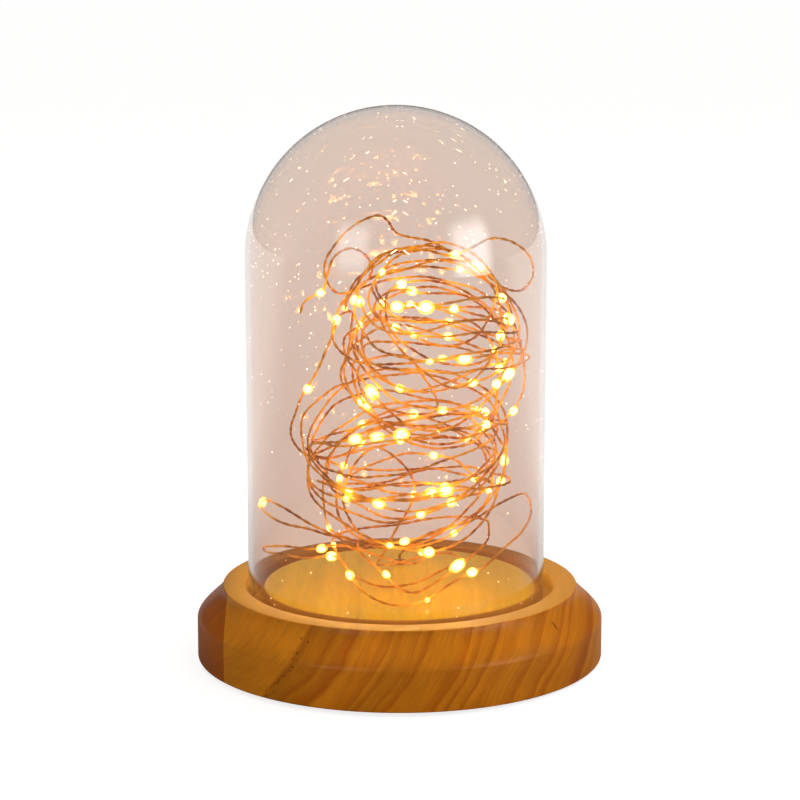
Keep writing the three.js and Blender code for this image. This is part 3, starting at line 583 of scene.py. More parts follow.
def enamelled_copper(settings):
    """Drawn copper wire under clear enamel: a warm metal, darker in patches that are partly painted shade,
    with a painted glow near a drop.
    """
    material, add, shader = new_material("enamelled_copper_wire")
    where = add("TexCoord").outputs["Object"]
    # darker patches of about 12 mm, partly a tone of the copper and partly painted shade, and draw marks of
    # about 1.2 mm
    tone_and_shade_patches = add("TexNoise", {"Vector": where, "Scale": PER_M / 12, "Detail": 3})
    marks = add("TexNoise", {"Vector": where, "Scale": PER_M / 1.2})
    # painted glow near each drop, where the drop's light falls on the wire
    near = add("Attribute", attribute_name="near_drop").outputs["Fac"]
    stops = [(0.38, settings.dark_copper_and_shade), (0.62, settings.copper)]
    fill(shader, {
        "Base Color": add("ValToRGB", {"Fac": tone_and_shade_patches}, stops), "Metallic": 0.4,
        "Roughness": add("MapRange", {"Value": marks, "To Min": 0.24, "To Max": 0.46}),
        "Specular IOR Level": 0.1, "Specular Tint": linear("#ffb347"), "Emission Color": linear("#ffb02e"),
        "Emission Strength": add("Math", {0: near, 1: settings.painted_glow}, operation="MULTIPLY"),
    })
    return material


def cast_resin(settings):
    """A drop of cast clear resin round a lit chip: glassy, and glowing amber, most at its middle."""
    material, add, shader = new_material("cast_clear_resin")
    glow = add("Attribute", attribute_name="glow").outputs["Fac"]
    # clouds of about 1.5 mm
    clouds = add("TexNoise", {"Vector": add("TexCoord").outputs["Object"], "Scale": PER_M / 1.5})
    tone = add("ValToRGB", {"Fac": clouds}, [(0.3, linear("#ffab2e")), (0.7, settings.amber)])
    fill(shader, {
        "Base Color": tone, "Roughness": 0.12, "IOR": 1.5, "Transmission Weight": 0.75,
        "Emission Color": tone,
        "Emission Strength": add("Math", {0: glow, 1: settings.glow}, operation="MULTIPLY"),
    })
    return material


def lit_phosphor(settings, name, strength):
    """Phosphor in resin, lit by a chip: a fine grain of warm white."""
    material, add, shader = new_material(name)
    # grains of about 0.2 mm
    grain = add("TexNoise", {"Vector": add("TexCoord").outputs["Object"], "Scale": PER_M / 0.2})
    tone = add("ValToRGB", {"Fac": grain}, [(0.3, settings.light), (0.7, linear("#fff2b4"))])
    fill(shader, {
        "Base Color": tone, "Roughness": 0.6, "Emission Color": tone, "Emission Strength": strength,
    })
    return material


def blown_glass(settings):
    """Blown soda-lime glass: clear with a faint warm tint, deeper along its edges, and slightly wavy."""
    material, add, shader = new_material("blown_soda_lime_glass")
    where = add("TexCoord").outputs["Object"]
    height = add("SeparateXYZ", {0: where}).outputs["Z"]
    # waves of about 22 mm, and cells of 3.8 mm and 2.7 mm with a painted glint in some of them
    waves = add("TexNoise", {"Vector": where, "Scale": PER_M / 22, "Detail": 1})
    # painted glints: specks that glow by themselves in place of reflections of the string's lights, round
    # ones, and drawn-out ones that follow the blowing, more of both the higher up
    drawn = add("Mapping", {
        "Vector": add("VectorMath", {0: where}, operation="ABSOLUTE"), "Rotation": (0, math.radians(35), 0),
        "Scale": (9, 1, 1),
    }, vector_type="TEXTURE")
    fewer = add("MapRange", {
        "Value": height, "From Min": 60 * MM, "From Max": 190 * MM, "To Min": 0.93, "To Max": 0.45})
    glints = []
    for vector, spacing, reach in ((where, 3.8, 0.075), (drawn, 2.7, 0.08)):
        glint_cells = add("TexVoronoi", {"Vector": vector, "Scale": PER_M / spacing})
        chance = add("SeparateColor", {0: glint_cells.outputs["Color"]}).outputs
        dot = add("Math", {0: glint_cells, 1: reach}, operation="LESS_THAN")
        kept = add("Math", {0: chance["Red"], 1: fewer}, operation="GREATER_THAN")
        bright = add("Math", {0: dot, 1: chance["Green"]}, operation="MULTIPLY")
        glints.append(add("Math", {0: bright, 1: kept}, operation="MULTIPLY"))
    glint = add("Math", {0: glints[0], 1: glints[1]}, operation="MAXIMUM")
    share = add("MapRange", {"Value": height, "From Min": 30 * MM, "From Max": 220 * MM})
    fill(shader, {
        "Base Color": add("Mix", {0: share, "A": settings.foot_tint, "B": settings.tint}, data_type="RGBA"),
        # the emission is the painted glints
        "Roughness": 0.0, "IOR": 1.5, "Transmission Weight": 1.0, "Emission Color": linear("#ffe6b8"),
        "Emission Strength": add("Math", {0: glint, 1: settings.glint}, operation="MULTIPLY"),
        "Normal": add("Bump", {"Height": waves, "Strength": 0.04, "Distance": 0.2 * MM}),
    })
    depth = add("VolumeAbsorption", {"Color": settings.body, "Density": settings.density})
    fill(material.node_tree.nodes["Material Output"], {"Volume": depth})
    return material


def lacquered_wood(settings):
    """Turned softwood staves, glued, stained, lacquered: rings on the end grain, fibres front to back."""
    material, add, shader = new_material("lacquered_glued_softwood")
    mm = add("VectorMath", {0: add("TexCoord").outputs["Object"], 1: (PER_M,) * 3}, operation="MULTIPLY")
    x, y, z = add("SeparateXYZ", {0: mm}).outputs
    # everything in the wood is drawn out along the fibres: swayings of about 34 mm, patches of about 14 mm
    drawn = add("VectorMath", {0: mm, 1: (1, FIBRE_DRAW, 1)}, operation="MULTIPLY")
    sway, patch = [
        add("TexNoise", {"Vector": drawn, "Scale": 1 / size, "Detail": detail})
        for size, detail in ((34, 2), (14, 3))
    ]
    # growth rings about the log's heart, far up on the left
    heart = add("VectorMath", {0: mm, 1: LOG_HEART}, operation="SUBTRACT")
    flat = add("VectorMath", {0: heart, 1: (1, LOG_TAPER, 1)}, operation="MULTIPLY")
    away = add("VectorMath", {0: flat}, operation="LENGTH")
    bent = add("Math", {0: sway, 1: RING_SWAY, 2: away}, operation="MULTIPLY_ADD")
    # good and poor years make the rings wide and narrow, and broad bands of about 24 mm lighter and darker
    years, broad = [
        add("TexNoise", {"W": bent, "Scale": 1 / size}, noise_dimensions="1D") for size in (15, 24)
    ]
    uneven = add("Math", {0: years, 1: YEARS_SWAY, 2: bent}, operation="MULTIPLY_ADD")
    rings = add("Math", {0: uneven, 1: settings.ring_spacing * PER_M}, operation="DIVIDE")
    phase, number = [add("Math", {0: rings}, operation=part) for part in ("FRACT", "FLOOR")]
    chance = add("TexWhiteNoise", {"W": number}, noise_dimensions="1D")
    stops = [(place, (v, v, v, 1)) for place, v in ((0.0, 0.15), (0.4, 0.0), (0.86, 1.0), (1.0, 0.15))]
    band = add("ValToRGB", {"Fac": phase}, stops, "B_SPLINE")
    dark = add("MapRange", {"Value": chance, "To Min": 0.35})
    late = add("Math", {0: band, 1: dark}, operation="MULTIPLY")
    # staves: a light one left of a slanting joint, and a dark one glued on at the far left
    slant = add("Math", {0: z, 1: -JOINT_LEAN, 2: -JOINT_FOOT}, operation="MULTIPLY_ADD")
    right = add("Math", {0: x, 1: slant}, operation="ADD")
    wavy = add("Math", {0: sway, 1: JOINT_SWAY, 2: right}, operation="MULTIPLY_ADD")
    left, far_left = [
        add("MapRange", {"Value": value, "From Min": low, "From Max": high, "To Min": 0.8, "To Max": 0.0})
        for value, low, high in ((wavy, 1.6, 3.4), (x, DARK_STAVE_EDGE - 0.1, DARK_STAVE_EDGE + 0.1))
    ]
    joined = settings.early
    for mask, tone in ((late, settings.late), (left, settings.light_stave), (far_left, settings.dark_stave)):
        joined = add("Mix", {0: mask, "A": joined, "B": tone}, data_type="RGBA")
    # fibres about 1 mm wide along the rings
    along = add("VectorMath", {0: mm, 1: (0.04, 0, 0.07)}, operation="DOT_PRODUCT")
    deep = add("Math", {0: y, 1: FIBRE_DRAW}, operation="MULTIPLY")
    grain = add("CombineXYZ", {"X": bent, "Y": along, "Z": deep})
    fibre = add("TexNoise", {"Vector": grain, "Scale": 1 / 1.1, "Detail": 3})
    # resin pores along the slanting joint
    cells = add("TexVoronoi", {"Vector": drawn, "Scale": 1 / 1.5})
    some = add("SeparateColor", {0: cells.outputs["Color"]})
    wide = add("Math", {0: some, 1: PORE_SPREAD}, operation="MULTIPLY")
    near = add("Math", {0: wavy, 1: PORE_LINE, 2: wide}, operation="COMPARE")
    hole = add("MapRange", {"Value": cells, "From Min": 0.16, "From Max": 0.38, "To Min": 0.9, "To Max": 0.0})
    pores = add("Math", {0: near, 1: hole}, operation="MULTIPLY")
    # a healed check on the right shoulder, 5 mm long
    check = add("Mapping", {
        "Vector": mm, "Location": CHECK_PLACE, "Rotation": (0, math.radians(CHECK_TURN), 0),
        "Scale": CHECK_SIZE,
    }, vector_type="TEXTURE")
    reach = add("VectorMath", {0: check}, operation="LENGTH")
    mark = add("MapRange", {"Value": reach, "From Min": 0.5, "To Min": 0.75, "To Max": 0.0})
    # what shades the wood, the range of that, and how bright the wood is at either end of it
    shades = [
        add("MapRange", {"Value": value, "From Min": low, "From Max": high, "To Min": first, "To Max": last})
        for value, low, high, first, last in (
            (patch, 0.3, 0.7, 0.9, 1.08), (fibre, 0.3, 0.7, 0.89, 1.09), (pores, 0, 1, 1, 0.25),
            (mark, 0, 1, 1, 0.2), (broad, 0.3, 0.7, 0.9, 1.08), (wavy, 2.6, 26, 0.75, 1.04),
            (late, 0, 1, 1, 0.8),
        )
    ]
    faint = shades.pop()
    # the wood is darkest right of the joint, and the light stave has none of that
    shades[-1] = add("Math", {0: left, 1: 0.3, 2: shades[-1]}, operation="MULTIPLY_ADD")
    tones = []
    for tone, layers in ((joined, shades), (settings.plate, [*shades[:2], faint])):
        for shade in layers:
            tone = add("Mix", {0: 1.0, "A": tone, "B": shade}, data_type="RGBA", blend_type="MULTIPLY")
        tones.append(tone)
    # the ring and the groove take a lighter tone, painted light from above on the top, and the plate under
    # the glass takes a paler, yellower tone
    across = add("VectorMath", {0: mm, 1: (1, 1, 0)}, operation="MULTIPLY")
    out = add("VectorMath", {0: across}, operation="LENGTH")
    upper, top = [add("Math", {0: z, 1: height}, operation="GREATER_THAN") for height in (UNDER_TOP, TOP)]
    ring, plate = [
        add("MapRange", {
            "Value": out, "From Min": edge * PER_M - 0.6, "From Max": edge * PER_M - 0.2, "To Min": upper,
            "To Max": 0.0})
        for edge in (settings.ring_width / 2, settings.groove_inner)
    ]
    ring = add("Math", {0: ring, 1: 0.8}, operation="MULTIPLY")
    toned, pale = tones
    for mask, tone in ((ring, settings.top), (plate, pale)):
        toned = add("Mix", {0: mask, "A": toned, "B": tone}, data_type="RGBA")
    fill(shader, {
        "Base Color": toned, "Roughness": add("MapRange", {"Value": fibre, "To Min": 0.34, "To Max": 0.5}),
        "Specular IOR Level": 0.06,
        # more coats of lacquer on the top than on the side
        "Coat Weight": add("MapRange", {"Value": top, "To Min": 0.05, "To Max": 0.12}), "Coat Roughness": 0.2,
        "Normal": add("Bump", {"Height": fibre, "Strength": 0.12, "Distance": 0.1 * MM}),
    })
    return material


def fine_surface(name, tones, patch, grain, rough, **inputs):
    """A surface of two close tones in patches, with a fine grain that dulls and roughens it. Sizes in mm."""
    material, add, shader = new_material(name)
    where = add("TexCoord").outputs["Object"]
    patches = add("TexNoise", {"Vector": where, "Scale": PER_M / patch, "Detail": 3})
    grains = add("TexNoise", {"Vector": where, "Scale": PER_M / grain})
    stops = [(place, linear(tone)) for place, tone in zip((0.35, 0.65), tones)]
    fill(shader, {
        "Base Color": add("ValToRGB", {"Fac": patches}, stops),
        "Roughness": add("MapRange", {"Value": grains, "To Min": rough[0], "To Max": rough[1]}),
        "Normal": add("Bump", {"Height": grains, "Strength": 0.3, "Distance": grain * 0.2 * MM}),
        **inputs,
    })
    return material


def nickel_plated_steel():
    """Drawn steel under thin nickel: a cool grey metal, bright but not a mirror."""
    return fine_surface("nickel_plated_steel", ("#9d9a95", "#b6b3ae"), 4, 0.2, (0.22, 0.38), Metallic=1.0)


def moulded_abs():
    """Black ABS from a spark-eroded mould: matt, with a fine even grain."""
    return fine_surface("moulded_black_abs", ("#17171a", "#202023"), 8, 0.25, (0.45, 0.62))


def solder_masked_board():
    """Glass-fibre board under green solder mask: tracks show through as lighter lines."""
    material, add, shader = new_material("solder_masked_board")
    where = add("TexCoord").outputs["Object"]
    # tracks 0.5 mm wide on a 2 mm grid, broken off every 5 mm, over a weave of about 0.6 mm
    tracks = add("TexBrick", {
        "Vector": where, "Scale": PER_M / 5, "Mortar Size": 0.05, "Brick Width": 1.0, "Row Height": 0.4,
        "Color1": linear("#0f4a24"), "Color2": linear("#14572b"), "Mortar": linear("#2f7a45"),
    })
    weave = add("TexNoise", {"Vector": where, "Scale": PER_M / 0.6})
    fill(shader, {
        "Base Color": tracks, "Roughness": add("MapRange", {"Value": weave, "To Min": 0.25, "To Max": 0.4}),
    })
    return material


def cell_jacket():
    """Plain film shrunk over a steel can: a dark body, a paler band at the plus end, bare metal ends."""
    material, add, shader = new_material("film_jacketed_can")
    along = add("Attribute", attribute_name="along").outputs["Fac"]
    where = add("TexCoord").outputs["Object"]
    # scuffs of about 2 mm
    scuffs = add("TexNoise", {"Vector": where, "Scale": PER_M / 2, "Detail": 4})
    # shares of the length at which bare steel, bare steel, film and the band begin
    begins = (0.0, 0.975, 0.012, 0.7)
    tones = [linear(code) for code in ("#a9a6a1", "#a9a6a1", "#26282b", "#6f7478")]
    metal = [(v, v, v, 1) for v in (1, 1, 0.2, 0.7)]
    tone, bare = [add("ValToRGB", {"Fac": along}, list(zip(begins, v)), "CONSTANT") for v in (tones, metal)]
    fill(shader, {
        "Base Color": tone, "Metallic": bare,
        "Roughness": add("MapRange", {"Value": scuffs, "To Min": 0.22, "To Max": 0.42}),
    })
    return material


class LAMP_OT_stage(bpy.types.Operator):
    """Sets the camera, the floor and the studio light"""
    bl_idname = "lamp.stage"
    bl_label = "Stage"

    def execute(self, context):
        settings = context.scene.bell_lamp.stage
        context.scene.view_settings.view_transform = "Standard"
        self.camera(context, settings)
        self.room(context, settings)
        self.floor(settings)
        for name, place, size, power, mirrored in LIGHTS:
            lamp = self.softbox(name, *place, *size, power)
            lamp.visible_diffuse = not mirrored
            lamp.visible_glossy = mirrored
        return {"FINISHED"}

    def camera(self, context, settings):
        """The photograph's camera"""
        data = bpy.data.cameras.new("photo_camera")
        data.lens = settings.lens
        camera = bpy.data.objects.new("photo_camera", data)
        out = Vector((0, -math.cos(settings.elevation), math.sin(settings.elevation)))
        camera.location = Vector((settings.aim_right, 0, settings.aim_height)) + out * settings.distance
        camera.rotation_euler = out.to_track_quat("Z", "Y").to_euler()
        context.scene.collection.objects.link(camera)
        context.scene.camera = camera

    def seen(self, add):
        """1 for what the camera sees, also through glass, but not in a reflection"""
        path = add("LightPath").outputs
        camera, through = path["Is Camera Ray"], path["Is Transmission Ray"]
        straight = add("Math", {0: camera, 1: through}, operation="MAXIMUM")
        return add("Math", {0: straight, 1: path["Glossy Depth"]}, operation="SUBTRACT", use_clamp=True)

    def room(self, context, settings):
        """A white room for the camera, which lights the lamp evenly"""
        world = bpy.data.worlds.new("white_room")
        world.use_nodes = True
        add = partial(add_node, world.node_tree)
        path = add("LightPath").outputs
        way = add("SeparateXYZ", {0: add("TexCoord").outputs["Generated"]}).outputs
        # in the glass, the white wall behind the lamp is reflected, and the dark room behind the camera
        wall = add("MapRange", {
            "Value": way["Y"], "From Min": -0.6, "From Max": -0.1, "To Min": settings.reflected})
        lit = settings.ambient
        for ray, level in (("Is Glossy Ray", settings.reflected), ("Is Transmission Ray", wall)):
            lit = add("MapRange", {"Value": path[ray], "To Min": lit, "To Max": level})
        strength = add("MapRange", {"Value": self.seen(add), "To Min": lit})
        fill(world.node_tree.nodes["Background"], {"Strength": strength, "Color": settings.paper})
        context.scene.world = world

    def floor(self, settings):
        """Matt white paper: hardly any grain, no shine, and the lamp's soft shadow"""
        material, add, shader = new_material("white_paper")
        where = add("TexCoord").outputs["Object"]
        # fibre clouds of 25 mm
        grain = add("TexNoise", {"Vector": where, "Scale": PER_M / 25})
        # the part behind the lamp is white in reflections too, as the glass's edges show
        back = add("MapRange", {"Value": add("SeparateXYZ", {0: where}).outputs["Y"], "From Max": 0.3})
        depth = add("LightPath").outputs["Glossy Depth"]
        mirrored = add("Math", {0: back, 1: depth}, operation="MULTIPLY", use_clamp=True)
        white = add("Math", {0: self.seen(add), 1: mirrored}, operation="MAXIMUM")
        stops = [(0.0, linear("#b4b2b0")), (1.0, linear("#b8b6b4"))]
        fill(shader, {
            "Base Color": add("ValToRGB", {"Fac": grain}, stops), "Roughness": 0.9,
            "Specular IOR Level": 0.0, "Emission Color": settings.paper,
            "Emission Strength": add("Math", {0: white, 1: 0.8}, operation="MULTIPLY"),
        })
        bm = bmesh.new()
        bmesh.ops.create_grid(bm, x_segments=2, y_segments=2, size=FLOOR_HALF)
        object_from(bm, "paper_floor", material)

    def softbox(self, name, right, elevation, distance, width, height, power):
        """A flat light that faces the lamp, bright in its middle and fading to its edges"""
        light = bpy.data.lights.new(name, "AREA")
        light.shape = "RECTANGLE"
        light.size, light.size_y = width, height
        light.energy = power
        light.use_nodes = True
        add = partial(add_node, light.node_tree)
        place = add("NewGeometry").outputs["Parametric"]
        middle = add("VectorMath", {0: place, 1: (0.5, 0.5, 0.0)}, operation="SUBTRACT")
        away = add("SeparateXYZ", {0: add("VectorMath", {0: middle}, operation="ABSOLUTE")}).outputs
        fades = [
            add("MapRange", {
                "Value": away[axis], "From Min": 0.18, "From Max": 0.5, "To Min": 1.0, "To Max": 0.0,
            }, interpolation_type="SMOOTHSTEP")
            for axis in ("X", "Y")
        ]
        fade = add("Math", {0: fades[0], 1: fades[1]}, operation="MULTIPLY")
        fill(light.node_tree.nodes["Emission"], {"Strength": fade})
        lamp = bpy.data.objects.new(name, light)
        across, rise = math.radians(right), math.radians(elevation)
        out = Vector((math.sin(across) * math.cos(rise), -math.cos(across) * math.cos(rise), math.sin(rise)))
        lamp.location = LIGHTS_AIM + out * distance
        lamp.rotation_euler = out.to_track_quat("Z", "Y").to_euler()
        lamp.visible_camera = False
        lamp.visible_transmission = False
        bpy.context.scene.collection.objects.link(lamp)
        return lamp


class LAMP_OT_light_string(bpy.types.Operator):
    """Winds the copper wire and threads the light drops on it"""
    bl_idname = "lamp.light_string"
    bl_label = "Light string"

    def execute(self, context):
        settings = context.scene.bell_lamp.string
        route = self.bent(settings, even_line(wire_route(settings), WIRE_STEP))
        frames = carried_sides(route)
        wire = self.wire(settings, route, frames)
        places = self.drop_places(settings, route)
        pieces = self.drops(settings, [(route[i], frames[i], size) for i, size in places])
        self.light_up(settings, wire, [route[i] for i, _ in places])
        return {"FINISHED"}

    def bent(self, settings, route):
        """The route with the small bends of wire that has been wound by hand"""
        plate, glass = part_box("base_body")[1].z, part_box("glass_dome")[1].x
        made = []
        travelled = 0
        for i, point in enumerate(route):
            if i:
                travelled += (point - route[i - 1]).length
            # less near the plate and the glass
            to_glass = (glass - point.xy.length) * GLASS_SHARE
            room = min(point.z - plate, to_glass, settings.bend_room) / settings.bend_room
            away = noise_vector((travelled / settings.bend_length, 0, 0)) * settings.bend
            made.append(point + away * max(room, 0))
        return made

    def wire(self, settings, route, frames):
        """Two strands twisted about the route"""
        offset = (settings.wire_width - settings.strand_width) / 2 + STRAND_GAP
        travelled = 0
        strands = ([], [])
        for i, (point, (side, up, _)) in enumerate(zip(route, frames)):
            if i:
                travelled += (point - route[i - 1]).length
            angle = FULL_TURN * travelled / settings.twist_pitch
            out = (side * math.cos(angle) + up * math.sin(angle)) * offset
            strands[0].append(point + out)
            strands[1].append(point - out)
        wire = tubes("light_wire", strands, settings.strand_width, enamelled_copper(settings))
        return settle(wire, "base", cad_nodes("light_wire"))

    def light_up(self, settings, wire, drops):
        """Writes down, for each point of the wire, how strongly it glows with painted light from the nearest
        drop
        """
        tree = nearest_points(drops)
        shares = [max(1 - tree.find(v.co)[2] / settings.painted_glow_reach, 0) ** 2 for v in wire.data.vertices]
        wire.data.attributes.new("near_drop", "FLOAT", "POINT").data.foreach_set("value", shares)

    def drop_places(self, settings, route):
        """The route's points that carry a drop, by number, with the drop's size: at the solids' drops,
        between them, and larger ones where they are seen best"""
        def size(least, k):
            return least + DROP_GROWTH * (k * GOLDEN % 1) ** DROP_BIAS

        tree = nearest_points(route)
        fixed = sorted(tree.find(sum(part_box(n), Vector()) / 2)[1] for n in cad_nodes("light_drop"))
        steps = settings.between + 1
        spacing = (fixed[-1] - fixed[0]) / (len(fixed) - 1) / steps
        wanted = [fixed[0] - spacing, *[
            a + (b - a) * k / steps for a, b in zip(fixed, fixed[1:]) for k in range(1, steps)
        ], fixed[-1] + spacing]
        end = len(route) - DROP_REACH - 2
        places = fixed + [self.roomiest(tree, route, round(min(w, end))) for w in wanted]
        places = [(i, size(SMALL_DROP, k)) for k, i in enumerate(places)]
        step = (route[1] - route[0]).length
        for k, spot in enumerate(LIGHT_PLACES):
            nearest = tree.find(Vector(spot) * MM)[1]
            if all(abs(nearest - i) * step > settings.drop_length for i, _ in places):
                places.append((nearest, size(LARGE_DROP, k)))
        return places

    def roomiest(self, tree, route, wanted):
        """The point near the wanted one that lies furthest from every other pass of the wire"""
        def room(i):
            others = [far for _, k, far in tree.find_range(route[i], DROP_ROOM) if abs(k - i) > SAME_PASS]
            return min(others, default=DROP_ROOM)
        nearby = range(wanted - DROP_REACH, wanted + DROP_REACH + 1)
        return max(nearby, key=lambda i: (room(i), -abs(i - wanted)))

    def drops(self, settings, places):
        """Resin, lit core and chip of each drop"""
        resin, core, chip = [bmesh.new() for _ in range(3)]
        glow = resin.verts.layers.float.new("glow")
        for i, (point, (side, up, along), shine) in enumerate(places):
            # no two drops are alike, and each has run to one side of the wire
            stretch = shine * (SHORTEST + LONGER * (i * GOLDEN**2 % 1))
            half = settings.drop_width / 2 * shine
            sagged = (side * math.cos(i) + up * math.sin(i)) * half * DROP_SAG
            place = Matrix.Translation(point + sagged) @ Matrix((side, up, along)).transposed().to_4x4()
            half_length = settings.drop_length / 2 * stretch
            whole = place @ Matrix.Diagonal((half, half * DROP_FLATNESS, half_length, 1))
            made = bmesh.ops.create_uvsphere(resin, u_segments=10, v_segments=8, radius=1, matrix=whole)
            back = whole.inverted()
            for vert in made["verts"]:
                vert[glow] = shine * (1 - abs((back @ vert.co).z) ** 2)
            thick, long = settings.core_width / 2 * shine, settings.core_length / 2 * stretch
            heart = place @ Matrix.Diagonal((thick, thick, long, 1))
            bmesh.ops.create_icosphere(core, subdivisions=2, radius=1, matrix=heart)
            bmesh.ops.create_icosphere(chip, subdivisions=1, radius=settings.chip_width / 2, matrix=place)
        drops = object_from(resin, "light_drops", cast_resin(settings))
        settle(drops, "base", cad_nodes("light_drop"))
        lit = []
        for bm, name, kind, strength in (
            (core, "light_cores", "lit_phosphor_resin", settings.heart),
            (chip, "light_chips", "lit_phosphor_chip", settings.brightness),
        ):
            piece = object_from(bm, name, lit_phosphor(settings, kind, strength))
            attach(piece, "base")
            lit.append(piece)
        # the chips' light and its glints in the glass come straight through the resin
        for piece in (drops, lit[0]):
            piece.visible_shadow = False
            piece.visible_glossy = False
        return [drops, *lit]


class LAMP_OT_wooden_base(bpy.types.Operator):
    """Turns the wooden base"""
    bl_idname = "lamp.wooden_base"
    bl_label = "Wooden base"

    def execute(self, context):
        settings = context.scene.bell_lamp.base
        low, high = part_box("base_body")
        radius, edge, foot = high.x, settings.edge, settings.foot
        ring, side_top, ogee_top = settings.ring_width / 2, low.z + settings.side_height, high.z - edge
        floor, plate = high.z - settings.groove_depth, high.z - settings.plate_drop
        outer, inner = settings.groove_outer, settings.groove_inner
        profile = [
            (0, low.z),
            *arc((radius - foot, low.z + foot), foot, -90, 0),
            *bezier(
                [(radius, side_top), (ring, ogee_top)],
                [(radius, side_top + settings.ogee_pull), (ring, ogee_top - settings.ogee_pull)], OGEE_STEPS,
            ),
            *arc((ring - edge, high.z - edge), edge, 0, 90)[1:],
            *arc((outer + edge, high.z - edge), edge, 90, 180),
            (outer, floor),
            (inner, floor),
            *arc((inner - edge, plate - edge), edge, 0, 90),
            (0, plate),
        ]
        base = object_from(turned(profile, BASE_STEPS), "wooden_base", lacquered_wood(settings))
        self.pockets(context.scene.bell_lamp.power, base, low.z)
        settle(base, "base", ["base_body"])
        return {"FINISHED"}

    def pockets(self, power, base, underside):
        """The pocket of the battery box, and the bore of the grommet above it"""
        low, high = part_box("battery_box")
        side, up = Vector((power.play, power.play, 0)), Vector((0, 0, power.play))
        pocket = block(Vector((low.x, low.y, underside - power.play)) - side, high + side + up)
        start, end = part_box("wire_grommet")
        bore = bmesh.new()
        length = end.z - high.z
        middle = Matrix.Translation(((start.x + end.x) / 2, (start.y + end.y) / 2, high.z + length / 2))
        bmesh.ops.create_cone(
            bore, cap_ends=True, segments=BORE_STEPS, radius1=power.sleeve, radius2=power.sleeve,
            depth=length, matrix=middle,
        )
        carve(base, [pocket, bore])


class LAMP_OT_glass_bell(bpy.types.Operator):
    """Blows the glass bell"""
    bl_idname = "lamp.glass_bell"
    bl_label = "Glass bell"

    def execute(self, context):
        settings = context.scene.bell_lamp.bell
        low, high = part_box("glass_dome")
        outer = (high.x - low.x) / 2
        inner = outer - settings.wall
        ball = high.z - outer
        rim = settings.wall / 2
        heights = [low.z + rim + (ball - low.z - rim) * i / WALL_STEPS for i in range(1, WALL_STEPS)]
        profile = [
            *arc((0, ball), inner, 90, 0, DOME_STEPS),
            *[(inner, h) for h in reversed(heights)],
            *arc((inner + rim, low.z + rim), rim, 180, 360, RIM_STEPS),
            *[(outer, h) for h in heights],
            *arc((0, ball), outer, 0, 90, DOME_STEPS),
        ]
        bm = turned([(max(r, 0), h) for r, h in profile], BELL_STEPS, (low, high))
        bell = object_from(bm, "glass_bell", blown_glass(settings), sharp_degrees=80)
        settle(bell, "bell", ["glass_dome"])
        # the studio light reaches what stands under the glass
        bell.visible_shadow = False
        return {"FINISHED"}


class LAMP_OT_felt_pads(bpy.types.Operator):
    """Glues the felt pads under the base"""
    bl_idname = "lamp.felt_pads"
    bl_label = "Felt pads"

    def execute(self, context):
        edge = context.scene.bell_lamp.power.edge
        # pressed wool felt: no shine, a soft fuzz that catches light at its rim
        felt = fine_surface(
            "pressed_wool_felt", ("#3f3027", "#57453a"), 2.5, 0.4, (0.9, 1.0), **{"Sheen Weight": 0.5}
        )
        for node in cad_nodes("felt_pad"):
            low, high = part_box(node)
            flat = (high.x - low.x) / 2 - edge
            profile = [
                (0, low.z), *arc((flat, low.z + edge), edge, -90, 0),
                *arc((flat, high.z - edge), edge, 0, 90), (0, high.z),
            ]
            pad = object_from(turned(profile, SMALL_STEPS, (low, high)), "shown_" + node, felt)
            settle(pad, "base", [node])
        return {"FINISHED"}


class LAMP_OT_grommet(bpy.types.Operator):
    """Presses the brass grommet into the plate"""
    bl_idname = "lamp.grommet"
    bl_label = "Wire grommet"

    def execute(self, context):
        settings = context.scene.bell_lamp.power
        low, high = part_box("wire_grommet")
        radius, bore, sleeve = (high.x - low.x) / 2, settings.bore, settings.sleeve
        seat, edge = high.z - settings.flange, settings.edge
        profile = [
            (bore, low.z), (sleeve, low.z), (sleeve, seat), (radius, seat),
            *arc((radius - edge, high.z - edge), edge, 0, 90),
            *arc((bore + edge, high.z - edge), edge, 90, 180), (bore, low.z),
        ]
        # turned brass: yellow metal with fine tool marks
        brass = fine_surface("turned_brass", ("#b5863c", "#c99d52"), 3, 0.15, (0.18, 0.34), Metallic=1.0)
        grommet = object_from(turned(profile, SMALL_STEPS, (low, high)), "shown_wire_grommet", brass)
        settle(grommet, "base", ["wire_grommet"])
        return {"FINISHED"}


class LAMP_OT_battery_box(bpy.types.Operator):
    """Screws the battery box into its pocket and puts its cover on"""
    bl_idname = "lamp.battery_box"
    bl_label = "Battery box"

    def execute(self, context):
        edge = context.scene.bell_lamp.power.edge
        plastic, steel = moulded_abs(), nickel_plated_steel()
        for node in ("battery_box", "battery_cover"):
            dress(node, plastic, edge)
        for node in cad_nodes("box_screw"):
            dress(node, steel, edge / 2)
        return {"FINISHED"}


